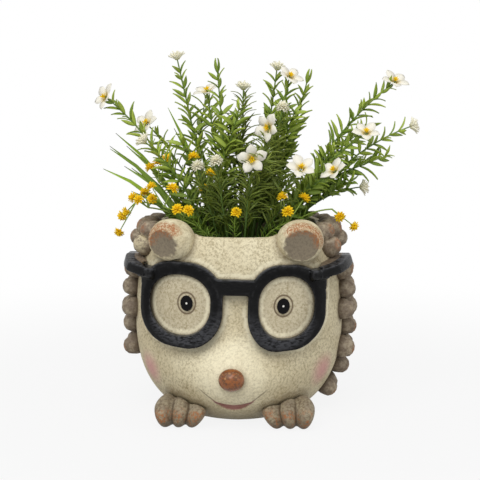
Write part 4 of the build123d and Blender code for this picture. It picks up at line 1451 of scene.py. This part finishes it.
class PLANTER_OT_grass(bpy.types.Operator):
    """Model the blades of grass"""

    bl_idname = "planter.grass"
    bl_label = "Grass"

    def execute(self, context):
        props = context.scene.planter_planting
        blade = model_blade("grass_blade", GRASS_STATIONS, 0.12, 0.06)
        dice = random.Random(31)
        grass = Cluster()
        for tip in GRASS_TIPS:
            for number in range(2):
                spread = Vector([dice.uniform(-9, 9) if number else 0.0 for _ in range(3)])
                shorter = 1 - 0.16 * number
                aim = Vector((tip[0] * shorter, tip[1] * shorter, 120 + (tip[2] - 120) * shorter))
                run = Run(aim + spread, GRASS_FOOT_SHARES, rise=0.001 * MM, stiff=0)
                twist = dice.uniform(1.05, 1.85) * dice.choice((-1, 1))
                grass.add(self.along(blade, run, props.grass_width, twist), None, dice.random())
        green = leaf_finish("grass_green", paint(34, 66, 24), tuple(props.grass_green), 140, 190)
        settle(grass.build("grass_tuft", green), None, "planting", "grass", "grass_blades")
        return {"FINISHED"}

    def along(self, blade, run, width, twist):
        """A blade laid along a run, and twisted about it."""
        points = []
        level = run.way.cross(run.inward).normalized()
        for x, y, z in blade.points:
            place, way = run.at(x * run.length)
            flat = Matrix.Rotation(twist, 3, way) @ level
            top = way.cross(flat).normalized()
            points.append(place + flat * (y * width) + top * (z * width))
        return Shape(points, blade.faces, blade.shares)


class PLANTER_OT_stage(bpy.types.Operator):
    """Set the floor, the light and the camera"""

    bl_idname = "planter.stage"
    bl_label = "Stage"

    def execute(self, context):
        props = context.scene.planter_stage
        bpy.ops.object.select_all(action="DESELECT")
        bpy.ops.mesh.primitive_plane_add(size=30, location=(0, 0, 0))
        floor = bpy.context.active_object
        floor.name = "floor"
        floor.data.materials.append(self.floor_finish(props))
        self.sky(context.scene, props)
        self.lamp("key_lamp", (-0.4, -1.4, 1.8), 1.7, props.key)
        self.lamp("fill_lamp", (1.6, -1.1, 0.9), 1.2, props.fill)
        self.camera(context.scene, props)
        context.scene.view_settings.view_transform = "Standard"
        return {"FINISHED"}

    def floor_finish(self, props):
        """A pale floor that keeps the shadow of the pot and fades to white away from it."""
        floor = Finish("pale_floor", Roughness=0.9)
        floor.show(tuple(props.floor))
        glow = floor.node("ShaderNodeEmission", sockets={"Color": (1, 1, 1), "Strength": 1.0})
        rays = floor.node("ShaderNodeLightPath").socket.node.outputs
        camera, mirror, glass = (Shade(floor, rays[ray]) for ray in SEEN_RAYS)
        seen = camera.most(mirror).most(glass)
        away = 1 - floor.spot((0, 0, 0), 200, 700)
        blend = {0: seen * (0.88 + 0.12 * away), 1: Shade(floor, floor.shader.outputs[0]), 2: glow}
        surface = floor.node("ShaderNodeMixShader", sockets=blend)
        out = next(node for node in floor.tree.nodes if node.type == "OUTPUT_MATERIAL")
        floor.feed(out.inputs["Surface"], surface)
        return floor.material

    def sky(self, scene, props):
        world = bpy.data.worlds.new("studio")
        scene.world = world
        world.use_nodes = True
        tree = world.node_tree
        light = next(node for node in tree.nodes if node.type == "BACKGROUND")
        light.inputs["Color"].default_value = (1, 1, 1, 1)
        path = tree.nodes.new("ShaderNodeLightPath")
        level = tree.nodes.new("ShaderNodeMapRange")
        level.inputs["To Min"].default_value = props.sky
        level.inputs["To Max"].default_value = 1.0
        seen = path.outputs[SEEN_RAYS[0]]
        for ray in SEEN_RAYS[1:]:
            either = tree.nodes.new("ShaderNodeMath")
            either.operation = "MAXIMUM"
            tree.links.new(seen, either.inputs[0])
            tree.links.new(path.outputs[ray], either.inputs[1])
            seen = either.outputs[0]
        tree.links.new(seen, level.inputs["Value"])
        tree.links.new(level.outputs[0], light.inputs["Strength"])

    def lamp(self, name, place, size, power):
        data = bpy.data.lights.new(name, "AREA")
        data.size = size
        data.energy = power
        lamp = link(name, data)
        lamp.location = place
        lamp.rotation_euler = (Vector((0, 0, 0.13)) - Vector(place)).to_track_quat("-Z", "Y").to_euler()

    def camera(self, scene, props):
        data = bpy.data.cameras.new("camera")
        data.lens = props.lens
        data.sensor_width = 36
        camera = link("camera", data)
        turn, rise = props.azimuth, props.elevation
        back = Vector((math.sin(turn) * math.cos(rise), -math.cos(turn) * math.cos(rise), math.sin(rise)))
        middle = Vector((0.0007, 0, 0.1456))
        camera.location = middle + back * props.distance
        camera.rotation_euler = (-back).to_track_quat("-Z", "Y").to_euler()
        scene.camera = camera


OPERATORS = (
    PLANTER_OT_spectacles,
    PLANTER_OT_body,
    PLANTER_OT_ears,
    PLANTER_OT_paws,
    PLANTER_OT_nose,
    PLANTER_OT_pupils,
    PLANTER_OT_quills,
    PLANTER_OT_foam,
    PLANTER_OT_sprays,
    PLANTER_OT_flowers,
    PLANTER_OT_buds,
    PLANTER_OT_sprigs,
    PLANTER_OT_grass,
    PLANTER_OT_stage,
)


class PLANTER_PT_panel(bpy.types.Panel):
    """Lists the pieces of the planter, and their sizes and colours"""

    bl_idname = "PLANTER_PT_panel"
    bl_label = "Hedgehog Planter"
    bl_space_type = "VIEW_3D"
    bl_region_type = "UI"
    bl_category = "Planter"

    def draw(self, context):
        for operator in OPERATORS:
            self.layout.operator(operator.bl_idname)
        scene = context.scene
        for group in (scene.planter_casting, scene.planter_planting, scene.planter_stage):
            box = self.layout.box()
            for name in group.__annotations__:
                box.prop(group, name)


GROUPS = {"planter_casting": CastingProps, "planter_planting": PlantingProps, "planter_stage": StageProps}


def register():
    for group in GROUPS.values():
        bpy.utils.register_class(group)
    for name, group in GROUPS.items():
        setattr(bpy.types.Scene, name, bpy.props.PointerProperty(type=group))
    for operator in OPERATORS:
        bpy.utils.register_class(operator)
    bpy.utils.register_class(PLANTER_PT_panel)


def unregister():
    bpy.utils.unregister_class(PLANTER_PT_panel)
    for operator in reversed(OPERATORS):
        bpy.utils.unregister_class(operator)
    for name, group in reversed(GROUPS.items()):
        delattr(bpy.types.Scene, name)
        bpy.utils.unregister_class(group)


def main():
    register()
    for operator in OPERATORS:
        group, name = operator.bl_idname.split(".")
        getattr(getattr(bpy.ops, group), name)()


if __name__ == "__main__":
    main()
